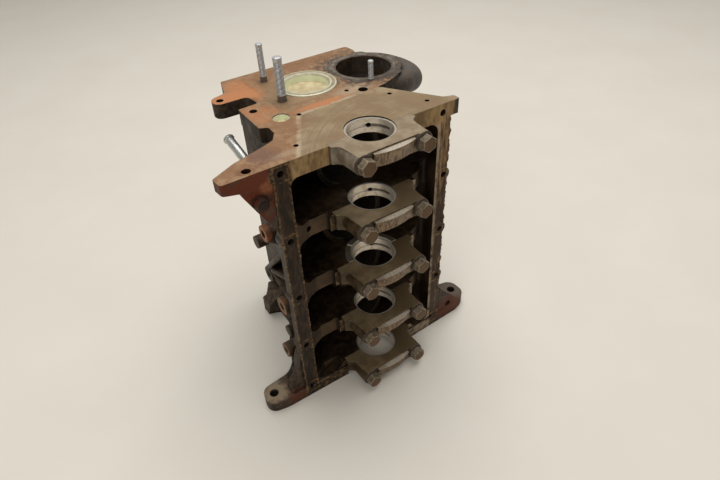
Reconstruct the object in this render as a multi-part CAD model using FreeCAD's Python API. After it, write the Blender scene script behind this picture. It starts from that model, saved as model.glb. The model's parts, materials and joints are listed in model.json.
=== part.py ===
import FreeCAD, Part
import math
import os

V = FreeCAD.Vector

# Bare cylinder block of a small four-cylinder diesel, standing on its rear (bellhousing) face.
# Millimetres. X runs across the block, +Y points from the crankshaft to the cylinder-head deck,
# +Z runs from the rear face to the front (timing) face. The origin is where the crankshaft axis
# meets the rear face. The five main bearing caps are bolted on, with their shells in place.

# ---- driving dimensions -------------------------------------------------------------------
BLOCK_LENGTH = 386.0          # rear face to front face
DECK_HEIGHT = 224.0           # crankshaft axis to head deck
MAIN_PITCH = 89.2             # main bearing to main bearing, and cylinder to cylinder
CYLINDERS = 4
BORE_RADIUS = 40.0
BARREL_WALL = 6.0             # cast wall round each bore
BARREL_FOOT = 48.0            # height of the barrels' open lower ends above the crank axis
WALL_HALF_WIDTH = 62.0        # outside of the water jacket from the crank axis
JACKET_WALL = 6.0
JACKET_FLOOR = 104.0
DECK_THICKNESS = 11.0

RAIL_FACE = -5.5              # pan rail face, below the crank axis
RAIL_LEFT = -125.5            # outer edges of the pan rails between their bolt pads
RAIL_RIGHT = 115.0
RAIL_INNER_LEFT = -106.5
RAIL_INNER_RIGHT = 96.0
RAIL_THICKNESS = 15.0
RAIL_HOLE_RADIUS = 4.2
RAIL_HOLE_DEPTH = 22.0
RAIL_PAD_RADIUS = 11.5
RAIL_HOLE_FROM_FRONT = 11.6
RAIL_HOLE_LEFT = -116.0
RAIL_HOLES_RIGHT = (102.1, 109.6, 109.6, 109.6, 102.1)

BEARING_WIDTH = 21.0          # width of each main bearing cap along the crank
WEB_THICKNESS = 22.0
ARM_FACE = 2.0                # lower face of the bulkhead arms between rail and cap
ARM_RAMP = 20.0               # length of the ramp from the left rail down to each arm
ARM_RISE = 20.0               # how much deeper the right-hand arms are where they reach the wall
BAY_CORNER = 14.0             # rounding of the bays where bulkheads meet the rails
HOUSING_RADIUS = 29.5         # main bearing housing bore
SHELL_THICKNESS = 2.5
SHELL_WIDTH = 18.0
SHELL_CLEARANCE = 0.05
OIL_HOLE_RADIUS = 3.0
OIL_HOLE_TURN = 59.0          # feed hole's place round the bearing, from +X towards the deck
OIL_HOLE_REACH = 50.0
OIL_GROOVE_WIDTH = 4.0
OIL_GROOVE_DEPTH = 1.0
THRUST_INNER = HOUSING_RADIUS + 0.1
THRUST_OUTER = THRUST_INNER + 7.4
THRUST_THICKNESS = 2.4
THRUST_PROUD = 1.1
FIT = 0.15                    # running gap round bolts, studs and pressed pieces

BOLT_RADIUS = 6.0
CAP_BOLT_WALL = 4.5           # metal left between the housing bore and a bolt
CAP_BOLT_X = HOUSING_RADIUS + CAP_BOLT_WALL + BOLT_RADIUS
CAP_SEAT_HALF = CAP_BOLT_X + 17.0     # half width of the register that locates each cap
CAP_HALF_WIDTH = CAP_BOLT_X + 5.4
CAP_DEPTH = HOUSING_RADIUS + 13.3     # flat face of a cap below the crank axis
CAP_BOLT_SEAT = CAP_DEPTH + 1.2
CAP_FOOT_DEPTH = 9.0
CAP_LIP_REACH = CAP_DEPTH + 8.4       # crown of the arched lip, at its upper edge
CAP_LIP_LOW = CAP_DEPTH + 3.7         # the same at its lower edge
CAP_LIP_ARCH = 83.0                   # radius of the arch
CAP_LIP_HALF = 27.5
CAP_LIP_DROP = 2.0
CAP_BOSS_RADIUS = 12.0
BOLT_ENGAGED = 38.0
BOLT_FLANGE_RADIUS = 11.6
BOLT_FLANGE_HEIGHT = 3.0
BOLT_HEX = 17.0               # across flats
BOLT_HEX_HEIGHT = 9.0

FRONT_PLATE = 19.0            # thickness of the front flange
REAR_PLATE = 20.0             # thickness of the bellhousing flange
SEAL_BORE_RADIUS = 48.0       # opening for the rear crankshaft seal carrier

GALLERY = (-65.3, 83.8)       # main oil gallery, plugged at the front face
GALLERY_RADIUS = 7.0
SMALL_PLUG_RADIUS = 10.1
SMALL_PLUG_DEPTH = 7.0
LARGE_PLUG = (5.3, 147.1)     # water jacket core plug in the front face
LARGE_PLUG_FLANGE = 39.1
LARGE_PLUG_CUP = 30.0
LARGE_PLUG_DEPTH = 9.0
SIDE_PLUG_RADIUS = 18.0
SIDE_PLUG_DEPTH = 8.0
SIDE_PLUG_Y = 150.0
PLUG_SHEET = 1.5

PUMP = (94.0, 147.0)          # axis of the water pump volute
PUMP_BORE = 37.5
PUMP_DEPTH = 44.0
PUMP_WALL = 13.0
GASKET_THICKNESS = 0.8
GASKET_OUTER = 52.0

HEAD_BOLT_X = 47.0
HEAD_BOLT_RADIUS = 6.0
HEAD_BOLT_DEPTH = 75.0
HEAD_BOSS_RADIUS = 11.5

STUDS = {                     # name: (x, y, radius, height above the face)
    "tensioner_stud_upper": (-33.5, 190.0, 4.5, 49.0),
    "tensioner_stud_lower": (-42.5, 123.0, 5.6, 54.0),
    "water_pump_stud": (76.6, 105.0, 3.6, 25.5),
}
STUD_ENGAGED = 20.0
TUBE_RADIUS = 6.0
TUBE_BORE = 4.8
TUBE_FOOT = (-96.5, 73.4, -86.5)      # from the crank axis at the front face
TUBE_MOUTH = (-105.0, 165.4, -47.9)

FRONT = BLOCK_LENGTH
BARREL_RADIUS = BORE_RADIUS + BARREL_WALL
BEARING_FACES = [FRONT - MAIN_PITCH * k for k in range(CYLINDERS + 1)]
BEARING_CENTRES = [face - BEARING_WIDTH / 2 for face in BEARING_FACES]
BORE_CENTRES = [centre - MAIN_PITCH / 2 for centre in BEARING_CENTRES[:-1]]
RAIL_HOLE_HEIGHTS = [FRONT - RAIL_HOLE_FROM_FRONT - MAIN_PITCH * k for k in range(CYLINDERS + 1)]


# ---- helpers ------------------------------------------------------------------------------
def outline(corners, place):
    """Closed wire through (a, b) or (a, b, radius) corners, each radius as a true tangent arc."""
    count = len(corners)
    flat = [V(c[0], c[1], 0) for c in corners]
    edges = []
    ends = []
    for i, corner in enumerate(corners):
        radius = corner[2] if len(corner) > 2 else 0.0
        here, before, after = flat[i], flat[i - 1], flat[(i + 1) % count]
        back = (before - here).normalize()
        ahead = (after - here).normalize()
        half = back.getAngle(ahead) / 2
        if radius <= 0 or half > math.radians(89.5):
            ends.append((here, None, here))
            continue
        room = 0.48 * min((before - here).Length, (after - here).Length)
        run = min(radius / math.tan(half), room)
        radius = run * math.tan(half)
        bisector = (back + ahead).normalize()
        middle = here + bisector * (radius / math.sin(half) - radius)
        ends.append((here + back * run, middle, here + ahead * run))
    for i in range(count):
        start, middle, end = ends[i]
        if middle is not None:
            edges.append(Part.Arc(place(start), place(middle), place(end)).toShape())
        following = ends[(i + 1) % count][0]
        if (following - end).Length > 1e-6:
            edges.append(Part.LineSegment(place(end), place(following)).toShape())
    return Part.Wire(edges)


def plate(corners, bottom, top):
    """A flat casting outline in X and Y, raised from bottom to top along Z."""
    wire = outline(corners, lambda p: V(p.x, p.y, bottom))
    return Part.Face(wire).extrude(V(0, 0, top - bottom))


def side_plate(corners, near, far):
    """An outline in X and Z, carried along Y from near to far."""
    wire = outline(corners, lambda p: V(p.x, near, p.y))
    return Part.Face(wire).extrude(V(0, far - near, 0))


def wall_plate(corners, inner, outer):
    """An outline in Y and Z, carried along X from inner to outer."""
    wire = outline(corners, lambda p: V(inner, p.x, p.y))
    return Part.Face(wire).extrude(V(outer - inner, 0, 0))


def rod(radius, start, end):
    """A round bar between two points."""
    start, end = V(*start), V(*end)
    axis = end - start
    return Part.makeCylinder(radius, axis.Length, start, axis)


def turned(profile, start, axis):
    """A revolved solid: (radius, distance along the axis) pairs, closed back to its own start."""
    start, axis = V(*start), V(*axis).normalize()
    across = axis.cross(V(1, 0, 0) if abs(axis.x) < 0.9 else V(0, 1, 0)).normalize()
    points = [start + across * r + axis * h for r, h in profile]
    wire = Part.makePolygon(points + [points[0]])
    return Part.Face(wire).revolve(start, axis, 360)


def bolt_hex(width, height, start, axis):
    """A hexagonal prism measured across its flats, with its end corners turned off at 30 degrees."""
    start, axis = V(*start), V(*axis).normalize()
    corner = width / math.sqrt(3)
    across = axis.cross(V(0, 0, 1)).normalize()
    other = axis.cross(across)
    turns = [math.radians(60 * i) for i in range(7)]
    points = [start + across * (corner * math.cos(t)) + other * (corner * math.sin(t)) for t in turns]
    prism = Part.Face(Part.makePolygon(points)).extrude(axis * height)
    drop = (corner - width / 2) * math.tan(math.radians(30))
    cone = turned([(0, 0), (corner, 0), (corner, height - drop), (width / 2 - 0.4, height), (0, height)],
                  start, axis)
    return prism.common(cone)


def save(shapes, name):
    """Write one node, as one solid or as a group of separate solids."""
    shapes = shapes if isinstance(shapes, list) else [shapes]
    solids = [solid for shape in shapes for solid in shape.Solids]
    result = solids[0] if len(solids) == 1 else Part.makeCompound(solids)
    result.exportStep("parts/" + name + ".step")
    print(f"{name}: {len(solids)} solid(s), {result.Volume / 1000:.1f} cm3, valid {result.isValid()}")
    return result


# ---- the casting: outside forms -----------------------------------------------------------
def main_body():
    """The long box of the block: skirted crankcase below, straight water jacket walls above."""
    w = WALL_HALF_WIDTH
    gx, gy = GALLERY
    section = [
        (RAIL_LEFT, RAIL_FACE), (RAIL_LEFT, 8, 6), (-97, 44, 25),
        (gx - 15, gy - 14, 10), (gx - 15, gy + 6, 14), (-w, gy + 20, 10), (-w, DECK_HEIGHT, 1.5),
        (w, DECK_HEIGHT, 1.5), (w, 98, 12), (70, 80, 20), (92, 46, 25),
        (RAIL_RIGHT, 8, 6), (RAIL_RIGHT, RAIL_FACE),
    ]
    return plate(section, 0, FRONT)


def front_flange():
    """The front plate: timing-cover face, the long left bracket arm, the ear and the open slot."""
    left_arm = [(-180, RAIL_FACE, 3), (-181.5, 10, 3), (-152, 25, 20), (-113, 37, 40), (-95, 44, 8)]
    slot = [(-89, 54, 8), (-88, 72, 5), (-97.5, 76.5, 2), (-96, 134, 2), (-69, 136, 3), (-72, 160, 7)]
    ear = [(-113.5, 161, 10.5), (-112.5, 181, 10.5), (-90, 188, 5)]
    deck = [(-79.6, DECK_HEIGHT, 1.5), (116, DECK_HEIGHT, 4)]
    right = [(117, 205), (98, 150), (68.8, 85.6, 6), (79, 68, 25), (90.6, 49, 20), (97.4, 32, 20),
             (110.5, 10.7, 10), (127, 4.3, 2), (127, RAIL_FACE, 1)]
    plates = plate(left_arm + slot + ear + deck + right, FRONT - FRONT_PLATE, FRONT)
    # the arm thins to its tip, and a gusset runs from it down the outside of the rail
    thin = side_plate([(-190, FRONT - FRONT_PLATE - 1), (-152, FRONT - FRONT_PLATE - 1),
                       (-152, FRONT - FRONT_PLATE), (-180, FRONT - 12.5), (-190, FRONT - 12.5)], -20, 80)
    gusset = side_plate([(-113, FRONT - 1), (-160, FRONT - 1), (-160, FRONT - 22, 4),
                         (-140, FRONT - 60, 8), (-124, FRONT - 90, 10), (-113, FRONT - 90)],
                        RAIL_FACE + 1.5, 9)
    dome = turned([(0, -4), (8.5, -4), (8.5, 3), (7, 7), (4, 9), (0, 9.6)],
                  (-141.5, RAIL_FACE + 2.5, FRONT - 37), (0, -1, 0))
    return [plates.cut(thin), gusset, dome]


def rear_flange():
    """The bellhousing flange with its four bolt ears, closed between the rails and the deck."""
    left = [(-57, RAIL_FACE - 2.5, 1), (-155, RAIL_FACE, 1), (-182.5, 0, 14), (-180, 29, 13),
            (-134, 33, 30), (-121, 46, 14), (-96, 100, 20), (-79, 132, 6), (-79, 164, 3),
            (-95, 171, 3), (-93, 189, 8), (-82, 203, 10), (-70, DECK_HEIGHT - 2, 2)]
    right = [(70, DECK_HEIGHT - 2, 2), (82, 203, 10), (93, 189, 8), (95, 171, 3), (79, 164, 3),
             (79, 132, 8), (96, 100, 20), (120, 60, 20), (158, 42, 12), (183.5, 36, 16),
             (184.5, 3, 16), (158, RAIL_FACE, 1), (57, RAIL_FACE - 2.5, 1)]
    ring = plate(left + right, 0, REAR_PLATE)
    # concave web from the left rail down to the lower left ear
    x = RAIL_LEFT + 3
    web = side_plate([(x, 4), (-150, 4), (-146, 25, 8), (-133, 46, 40), (-127, 84, 20), (x, 92)],
                     RAIL_FACE + 3, 13)
    # flat gusset in line with the pan rail out to the lower right ear
    y = RAIL_RIGHT - 3
    brace = side_plate([(y, 4), (167, 4), (168, 17, 3), (122, 70, 4), (y, 84)], RAIL_FACE, 3.5)
    # sloping-topped ears high on both sides
    ears = []
    for side in (-1, 1):
        lug = wall_plate([(171, 0), (188, 0), (186, 30, 3), (176, 44, 2), (157, 44, 1)], side * 60, side * 97)
        slope = side_plate([(side * 78, 50), (side * 78, 45), (side * 110, 17), (side * 110, 50)], 140, 200)
        ears.append(lug.cut(slope))
    return [ring, web, brace] + ears


def rail_pads():
    """Round bolt pads along both pan rails."""
    pads = []
    for height, right in zip(RAIL_HOLE_HEIGHTS, RAIL_HOLES_RIGHT):
        low, high = RAIL_FACE, RAIL_FACE + RAIL_THICKNESS
        pads.append(rod(RAIL_PAD_RADIUS, (RAIL_HOLE_LEFT, low, height), (RAIL_HOLE_LEFT, high, height)))
        pads.append(rod(RAIL_PAD_RADIUS - 1.5, (right, low, height), (right, high, height)))
    return pads


# bosses on the left side whose faces look along -X: (y, distance from front, radius, face x)
SIDE_BOSSES = [(47, 118, 11, -127), (69, 144, 8.5, -130), (24, 222, 12.5, -129),
               (20, 267, 8, -128), (36, 321, 11, -130), (84, 217, 11, -116)]
SIDE_BOSS_HOLES = (0, 2, 4, 5)
RIB_RADIUS = 3.6
RIB_CREST = -115.5            # the ribs' round tops run along this X


def side_bosses():
    """Mounting bosses and stiffening ribs on the left side of the crankcase."""
    parts = []
    for y, drop, radius, face in SIDE_BOSSES:
        parts.append(rod(radius, (-70, y, FRONT - drop), (face, y, FRONT - drop)))
    ribs = [((0, 112), (86, 208)), ((0, 170), (66, 196)), ((66, 196), (30, 214)), ((66, 145), (5, 116))]
    for (y0, d0), (y1, d1) in ribs:
        start, end = V(0, y0, FRONT - d0), V(0, y1, FRONT - d1)
        along = (end - start).normalize()
        aside = V(1, 0, 0).cross(along) * RIB_RADIUS
        corners = [start - aside, end - aside, end + aside, start + aside]
        parts.append(wall_plate([(p.y, p.z) for p in corners], -72, RIB_CREST))
        crest = V(RIB_CREST, 0, 0)
        parts.append(rod(RIB_RADIUS, tuple(start + crest), tuple(end + crest)))
        parts.append(Part.makeSphere(RIB_RADIUS, end + crest))
    foot, mouth = tube_line()
    along = (mouth - foot).normalize()
    parts.append(rod(10.5, tuple(foot - along * 28), tuple(foot + along * 6)))
    return parts


def pump_volute():
    """The water pump housing: a turned bowl with a scroll lofted through growing round sections."""
    x, y = PUMP
    outer = PUMP_BORE + PUMP_WALL
    bowl = turned([(0, 0), (outer, 0), (outer, -30), (outer - 8, -48), (outer - 20, -58), (0, -58)],
                  (x, y, FRONT), (0, 0, 1))
    sections = []
    for turn, reach, size in ((75, 60, 9), (35, 69, 12), (2, 75, 17), (-24, 81, 19), (-48, 71, 15)):
        angle = math.radians(turn)
        radial = V(math.cos(angle), math.sin(angle), 0)
        centre = V(x, y, FRONT - 3 - size) + radial * (reach - size)
        tangent = V(-math.sin(angle), math.cos(angle), 0)
        sections.append(Part.Wire(Part.makeCircle(size, centre, tangent)))
    scroll = Part.makeLoft(sections, True, False)
    # the last section is rounded off, and the passage turns back under the front flange
    tip = Part.makeSphere(size, centre)
    passage = rod(size, tuple(centre), (x - 34, y - 44, centre.z - 2))
    neck = plate([(50, 80), (84, 84, 6), (118, 98, 8), (118, 190, 8), (100, DECK_HEIGHT, 2),
                  (50, DECK_HEIGHT)], FRONT - 46, FRONT)
    return [bowl, scroll, tip, passage, neck]


def tube_line():
    """Foot and mouth of the dipstick tube in the block's frame."""
    foot = V(TUBE_FOOT[0], TUBE_FOOT[1], FRONT + TUBE_FOOT[2])
    mouth = V(TUBE_MOUTH[0], TUBE_MOUTH[1], FRONT + TUBE_MOUTH[2])
    return foot, mouth


# ---- the casting: hollows -----------------------------------------------------------------
def crankcase_bays():
    """The open space between each pair of bulkheads, round the feet of the barrels."""
    bays = []
    half = BARREL_RADIUS + 2
    section = [(RAIL_INNER_LEFT, -20), (RAIL_INNER_LEFT, 14, 10), (-86, 42, 20), (-62, 66, 16),
               (-half, 78, 10), (half, 78, 10), (62, 66, 16), (80, 42, 20),
               (RAIL_INNER_RIGHT, 14, 10), (RAIL_INNER_RIGHT, -20)]
    for upper, lower, centre in zip(BEARING_FACES, BEARING_FACES[1:], BORE_CENTRES):
        roof = upper - WEB_THICKNESS
        mouth = side_plate([(RAIL_INNER_LEFT, lower, BAY_CORNER), (RAIL_INNER_RIGHT, lower, BAY_CORNER),
                            (RAIL_INNER_RIGHT, roof, BAY_CORNER), (RAIL_INNER_LEFT, roof, BAY_CORNER - 4)],
                           -25, 120)
        bay = plate(section, lower, roof).common(mouth)
        barrel = rod(BARREL_RADIUS, (0, BARREL_FOOT, centre), (0, DECK_HEIGHT, centre))
        bays.append(bay.cut(barrel))
    return bays


def bulkhead_reliefs():
    """What is cut from the lower edge of the bulkheads: the cap registers and the arm recesses."""
    cuts = []
    low = RAIL_FACE - 20
    for k, face in enumerate(BEARING_FACES):
        # the last register runs out through the rear face
        bottom = -1 if k == CYLINDERS else face - WEB_THICKNESS - 1
        top = face + 1
        cuts.append(plate([(-CAP_SEAT_HALF, low), (-CAP_SEAT_HALF, 0, 1.2), (CAP_SEAT_HALF, 0, 1.2),
                           (CAP_SEAT_HALF, low)], bottom, top))
        if k == 0:
            continue
        shoulder = CAP_SEAT_HALF + 6
        arm_top = ARM_FACE + (8 if k == CYLINDERS else 0)
        base = REAR_PLATE if k == CYLINDERS else bottom
        # the left arms ramp down from the rail, the right ones dip behind it
        outer = RAIL_INNER_LEFT
        above = top + BAY_CORNER
        below = base if k == CYLINDERS else base - BAY_CORNER
        left = plate([(outer, low), (outer, RAIL_FACE), (outer + ARM_RAMP, arm_top, 15),
                      (-shoulder, arm_top, 3), (-shoulder, low)], below, above)
        right = plate([(shoulder, low), (shoulder, arm_top, 3), (shoulder + 16, arm_top + 5, 20),
                       (RAIL_INNER_RIGHT, arm_top + ARM_RISE, 8), (RAIL_INNER_RIGHT, low)], below, above)
        if k == CYLINDERS:
            corner = BAY_CORNER - 2
            left = left.common(side_plate([(outer, base, corner), (-shoulder, base, corner),
                                           (-shoulder, above), (outer, above)], low, 60))
            right = right.common(side_plate([(shoulder, base, corner), (RAIL_INNER_RIGHT, base, corner),
                                             (RAIL_INNER_RIGHT, above), (shoulder, above)], low, 60))
        cuts.extend([left, right])
    return cuts


def water_jacket():
    """The coolant space round the barrels, with the head bolt columns left standing in it."""
    w = WALL_HALF_WIDTH - JACKET_WALL
    top = DECK_HEIGHT - DECK_THICKNESS
    ends = (BORE_CENTRES[0] + BARREL_RADIUS + 9, BORE_CENTRES[-1] - BARREL_RADIUS - 9)
    space = plate([(-w, JACKET_FLOOR, 8), (w, JACKET_FLOOR, 8), (w, top, 3), (-w, top, 3)],
                  ends[1], ends[0])
    keep = [rod(BARREL_RADIUS, (0, 0, c), (0, DECK_HEIGHT, c)) for c in BORE_CENTRES]
    for centre in BEARING_CENTRES:
        for side in (-1, 1):
            x = side * HEAD_BOLT_X
            keep.append(rod(HEAD_BOSS_RADIUS, (x, 0, centre), (x, DECK_HEIGHT, centre)))
    slots = []
    for centre in BORE_CENTRES:
        for side in (-1, 1):
            ring = rod(w - 1.5, (0, top - 2, centre), (0, DECK_HEIGHT + 1, centre))
            ring = ring.cut(rod(BARREL_RADIUS + 2, (0, top - 3, centre), (0, DECK_HEIGHT + 2, centre)))
            reach = side * 80
            spread = 80 * math.tan(math.radians(24))
            wedge = Part.Face(Part.makePolygon([V(0, top - 2, centre), V(reach, top - 2, centre - spread),
                                                V(reach, top - 2, centre + spread),
                                                V(0, top - 2, centre)])).extrude(V(0, 30, 0))
            slots.append(ring.common(wedge))
    return [space.cut(keep)] + slots


def oil_feed(height, reach):
    """A point on the radial oil feed to one bearing, the given distance from the crank axis."""
    turn = math.radians(OIL_HOLE_TURN)
    return (reach * math.cos(turn), reach * math.sin(turn), height)


def drillings():
    """Every bored, drilled or tapped hole in the casting."""
    holes = []
    for centre in BORE_CENTRES:
        holes.append(rod(BORE_RADIUS, (0, BARREL_FOOT - 30, centre), (0, DECK_HEIGHT + 1, centre)))
        lead = turned([(0, -1.2), (BORE_RADIUS, -1.2), (BORE_RADIUS + 1.4, 0.2), (0, 0.2)],
                      (0, DECK_HEIGHT, centre), (0, 1, 0))
        holes.append(lead)
    # main bearing tunnel, cut web by web, and the rear seal opening
    holes.append(rod(HOUSING_RADIUS, (0, 0, -1), (0, 0, FRONT + 1)))
    holes.append(rod(SEAL_BORE_RADIUS, (0, 0, -1), (0, 0, BEARING_FACES[-1] - BEARING_WIDTH)))
    thrust = BEARING_FACES[2]
    recess = THRUST_THICKNESS - THRUST_PROUD
    holes.append(rod(THRUST_OUTER + 0.8, (0, 0, thrust - recess), (0, 0, thrust + 1)))
    holes.append(rod(THRUST_OUTER + 0.8, (0, 0, thrust - BEARING_WIDTH - 2),
                     (0, 0, thrust - BEARING_WIDTH + recess)))
    gx, gy = GALLERY
    holes.append(rod(GALLERY_RADIUS, (gx, gy, 30), (gx, gy, FRONT + 1)))
    holes.append(rod(SMALL_PLUG_RADIUS + FIT, (gx, gy, FRONT - SMALL_PLUG_DEPTH - 2), (gx, gy, FRONT + 1)))
    for centre in BEARING_CENTRES:
        feed = oil_feed(centre, OIL_HOLE_REACH)
        holes.append(rod(OIL_HOLE_RADIUS, oil_feed(centre, 20), feed))
        holes.append(rod(OIL_HOLE_RADIUS, feed, (gx, gy, centre)))
        for side in (-1, 1):
            x = side * CAP_BOLT_X
            holes.append(rod(BOLT_RADIUS + FIT, (x, -1, centre), (x, BOLT_ENGAGED + 4, centre)))
            x = side * HEAD_BOLT_X
            holes.append(rod(HEAD_BOLT_RADIUS, (x, DECK_HEIGHT - HEAD_BOLT_DEPTH, centre),
                             (x, DECK_HEIGHT + 1, centre)))
    for height, right in zip(RAIL_HOLE_HEIGHTS, RAIL_HOLES_RIGHT):
        for x in (RAIL_HOLE_LEFT, right):
            holes.append(rod(RAIL_HOLE_RADIUS, (x, RAIL_FACE - 1, height),
                             (x, RAIL_FACE + RAIL_HOLE_DEPTH, height)))
    # tapped holes in the front face: x, y, radius, depth
    for x, y, radius, depth in ((-45.3, 77.9, 2.8, 16), (-83.5, 17.4, 2.8, 16), (33.7, 97.3, 2.8, 16),
                                (69.7, 56.7, 2.8, 16), (92.4, 13.1, 2.8, 16), (51.6, 87.2, 6.2, 70),
                                (-83.6, 119.2, 4.8, 40), (-148.1, 3.7, 5.0, 40), (-103.2, 171.6, 4.6, 40)):
        holes.append(rod(radius, (x, y, FRONT - depth), (x, y, FRONT + 1)))
    for x, y, radius, height in STUDS.values():
        holes.append(rod(radius + FIT, (x, y, FRONT - STUD_ENGAGED - 2), (x, y, FRONT + 1)))
    # core plug seats
    x, y = LARGE_PLUG
    inner = BORE_CENTRES[0] + BARREL_RADIUS + 4
    holes.append(rod(LARGE_PLUG_CUP + FIT, (x, y, inner), (x, y, FRONT + 1)))
    for centre in side_plug_heights():
        holes.append(rod(SIDE_PLUG_RADIUS + FIT, (WALL_HALF_WIDTH - JACKET_WALL - 3, SIDE_PLUG_Y, centre),
                         (WALL_HALF_WIDTH + 1, SIDE_PLUG_Y, centre)))
        holes.append(rod(SIDE_PLUG_RADIUS + FIT, (-WALL_HALF_WIDTH - 1, SIDE_PLUG_Y, centre),
                         (-WALL_HALF_WIDTH + JACKET_WALL + 3, SIDE_PLUG_Y, centre)))
    # bellhousing bolt holes, the side hole in the right brace, and the bosses' holes
    for x, y, depth in ((-167.5, 14.4, 70), (170, 20, 70), (-88, 184, 24), (88, 184, 24)):
        holes.append(rod(6.5, (x, y, -1), (x, y, depth)))
    holes.append(rod(5.5, (140, RAIL_FACE - 1, 27.2), (140, 5, 27.2)))
    for index in SIDE_BOSS_HOLES:
        y, drop, radius, face = SIDE_BOSSES[index]
        holes.append(rod(radius * 0.45, (face - 1, y, FRONT - drop), (face + 16, y, FRONT - drop)))
    centre = BEARING_CENTRES[1]
    holes.append(rod(3.6, (-88.5, RAIL_FACE - 1, centre), (-88.5, ARM_FACE + 18, centre)))
    foot, mouth = tube_line()
    along = (mouth - foot).normalize()
    holes.append(rod(TUBE_RADIUS + FIT, tuple(foot - along * 8), tuple(foot + along * 30)))
    # water pump bowl
    x, y = PUMP
    r = PUMP_BORE
    holes.append(turned([(0, 1), (r, 1), (r, -26), (r - 5, -PUMP_DEPTH + 6), (r - 14, -PUMP_DEPTH),
                         (0, -PUMP_DEPTH)], (x, y, FRONT), (0, 0, 1)))
    return holes


def side_plug_heights():
    """Core plugs sit level with the second and the last two cylinders."""
    return [BORE_CENTRES[i] for i in (1, 2, 3)]


def block_casting():
    """The casting, in one piece: outside forms joined first, then every hollow and hole."""
    body = main_body()
    for forms in (front_flange(), rear_flange(), rail_pads(), side_bosses(), pump_volute()):
        body = body.fuse(forms)
    for hollows in (crankcase_bays(), bulkhead_reliefs(), water_jacket(), drillings()):
        body = body.cut(hollows)
    return body


# ---- main bearings ------------------------------------------------------------------------
def main_cap(k):
    """One bearing cap: flat milled faces, round bolt bosses and a raised arched lip."""
    top = BEARING_FACES[k]
    bottom = top - BEARING_WIDTH
    centre = BEARING_CENTRES[k]
    half = CAP_SEAT_HALF - 0.1
    section = [(-half, 0, 1.4), (-half, -CAP_FOOT_DEPTH, 2), (-CAP_HALF_WIDTH - 3, -CAP_FOOT_DEPTH - 5, 8),
               (-CAP_HALF_WIDTH, -CAP_DEPTH, 1), (CAP_HALF_WIDTH, -CAP_DEPTH, 1),
               (CAP_HALF_WIDTH + 3, -CAP_FOOT_DEPTH - 5, 8), (half, -CAP_FOOT_DEPTH, 2), (half, 0, 1.4)]
    body = plate(section, bottom, top)
    arch_centre = CAP_LIP_ARCH - CAP_LIP_REACH
    lip = Part.makeCone(CAP_LIP_LOW + arch_centre, CAP_LIP_ARCH, BEARING_WIDTH - CAP_LIP_DROP - 0.8,
                        V(0, arch_centre, bottom + 0.8))
    window = plate([(-CAP_LIP_HALF, -CAP_DEPTH + 6), (-CAP_LIP_HALF, -80), (CAP_LIP_HALF, -80),
                    (CAP_LIP_HALF, -CAP_DEPTH + 6)], bottom, top)
    extras = [lip.common(window)]
    slab = plate([(-half, -60), (half, -60), (half, 0), (-half, 0)], bottom, top)
    for side in (-1, 1):
        x = side * CAP_BOLT_X
        boss = rod(CAP_BOSS_RADIUS, (x, -CAP_BOLT_SEAT, centre), (x, 0, centre))
        extras.append(boss.common(slab))
    body = body.fuse(extras)
    cuts = [rod(HOUSING_RADIUS, (0, 0, bottom - 1), (0, 0, top + 1))]
    for side in (-1, 1):
        x = side * CAP_BOLT_X
        cuts.append(rod(BOLT_RADIUS + 2 * FIT, (x, -70, centre), (x, 1, centre)))
        cuts.append(rod(BOLT_FLANGE_RADIUS + 0.6, (x, -70, centre), (x, -CAP_BOLT_SEAT, centre)))
    return body.cut(cuts)


def cap_bolts(k):
    """The two flanged hexagon bolts of one cap."""
    bolts = []
    centre = BEARING_CENTRES[k]
    for side in (-1, 1):
        x = side * CAP_BOLT_X
        seat = -CAP_BOLT_SEAT
        flange = turned([(0, 0), (BOLT_FLANGE_RADIUS, 0), (BOLT_FLANGE_RADIUS, 1.4),
                         (BOLT_HEX / 2 + 0.6, BOLT_FLANGE_HEIGHT), (0, BOLT_FLANGE_HEIGHT)],
                        (x, seat, centre), (0, -1, 0))
        head = bolt_hex(BOLT_HEX, BOLT_HEX_HEIGHT, (x, seat - BOLT_FLANGE_HEIGHT, centre), (0, -1, 0))
        shank = turned([(0, -1), (BOLT_RADIUS, -1), (BOLT_RADIUS, CAP_BOLT_SEAT + BOLT_ENGAGED - 1.5),
                        (BOLT_RADIUS - 1.5, CAP_BOLT_SEAT + BOLT_ENGAGED),
                        (0, CAP_BOLT_SEAT + BOLT_ENGAGED)], (x, seat, centre), (0, 1, 0))
        bolts.append(shank.fuse([flange, head]))
    return bolts


def bearing_shell(k, upper):
    """Half a plain bearing. The upper halves carry the oil groove and its hole."""
    outer = HOUSING_RADIUS - SHELL_CLEARANCE
    inner = HOUSING_RADIUS - SHELL_THICKNESS
    bottom = BEARING_CENTRES[k] - SHELL_WIDTH / 2
    side = 1 if upper else -1
    half = Part.makeCylinder(outer, SHELL_WIDTH, V(0, 0, bottom), V(0, 0, 1), 180)
    half = half.cut(Part.makeCylinder(inner, SHELL_WIDTH + 2, V(0, 0, bottom - 1)))
    if upper:
        groove = Part.makeCylinder(inner + OIL_GROOVE_DEPTH, OIL_GROOVE_WIDTH,
                                   V(0, 0, BEARING_CENTRES[k] - OIL_GROOVE_WIDTH / 2))
        hole = rod(OIL_HOLE_RADIUS, oil_feed(BEARING_CENTRES[k], 15), oil_feed(BEARING_CENTRES[k], 40))
        half = half.cut([groove, hole])
    if side < 0:
        half.rotate(V(0, 0, 0), V(0, 0, 1), 180)
    return half


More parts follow.
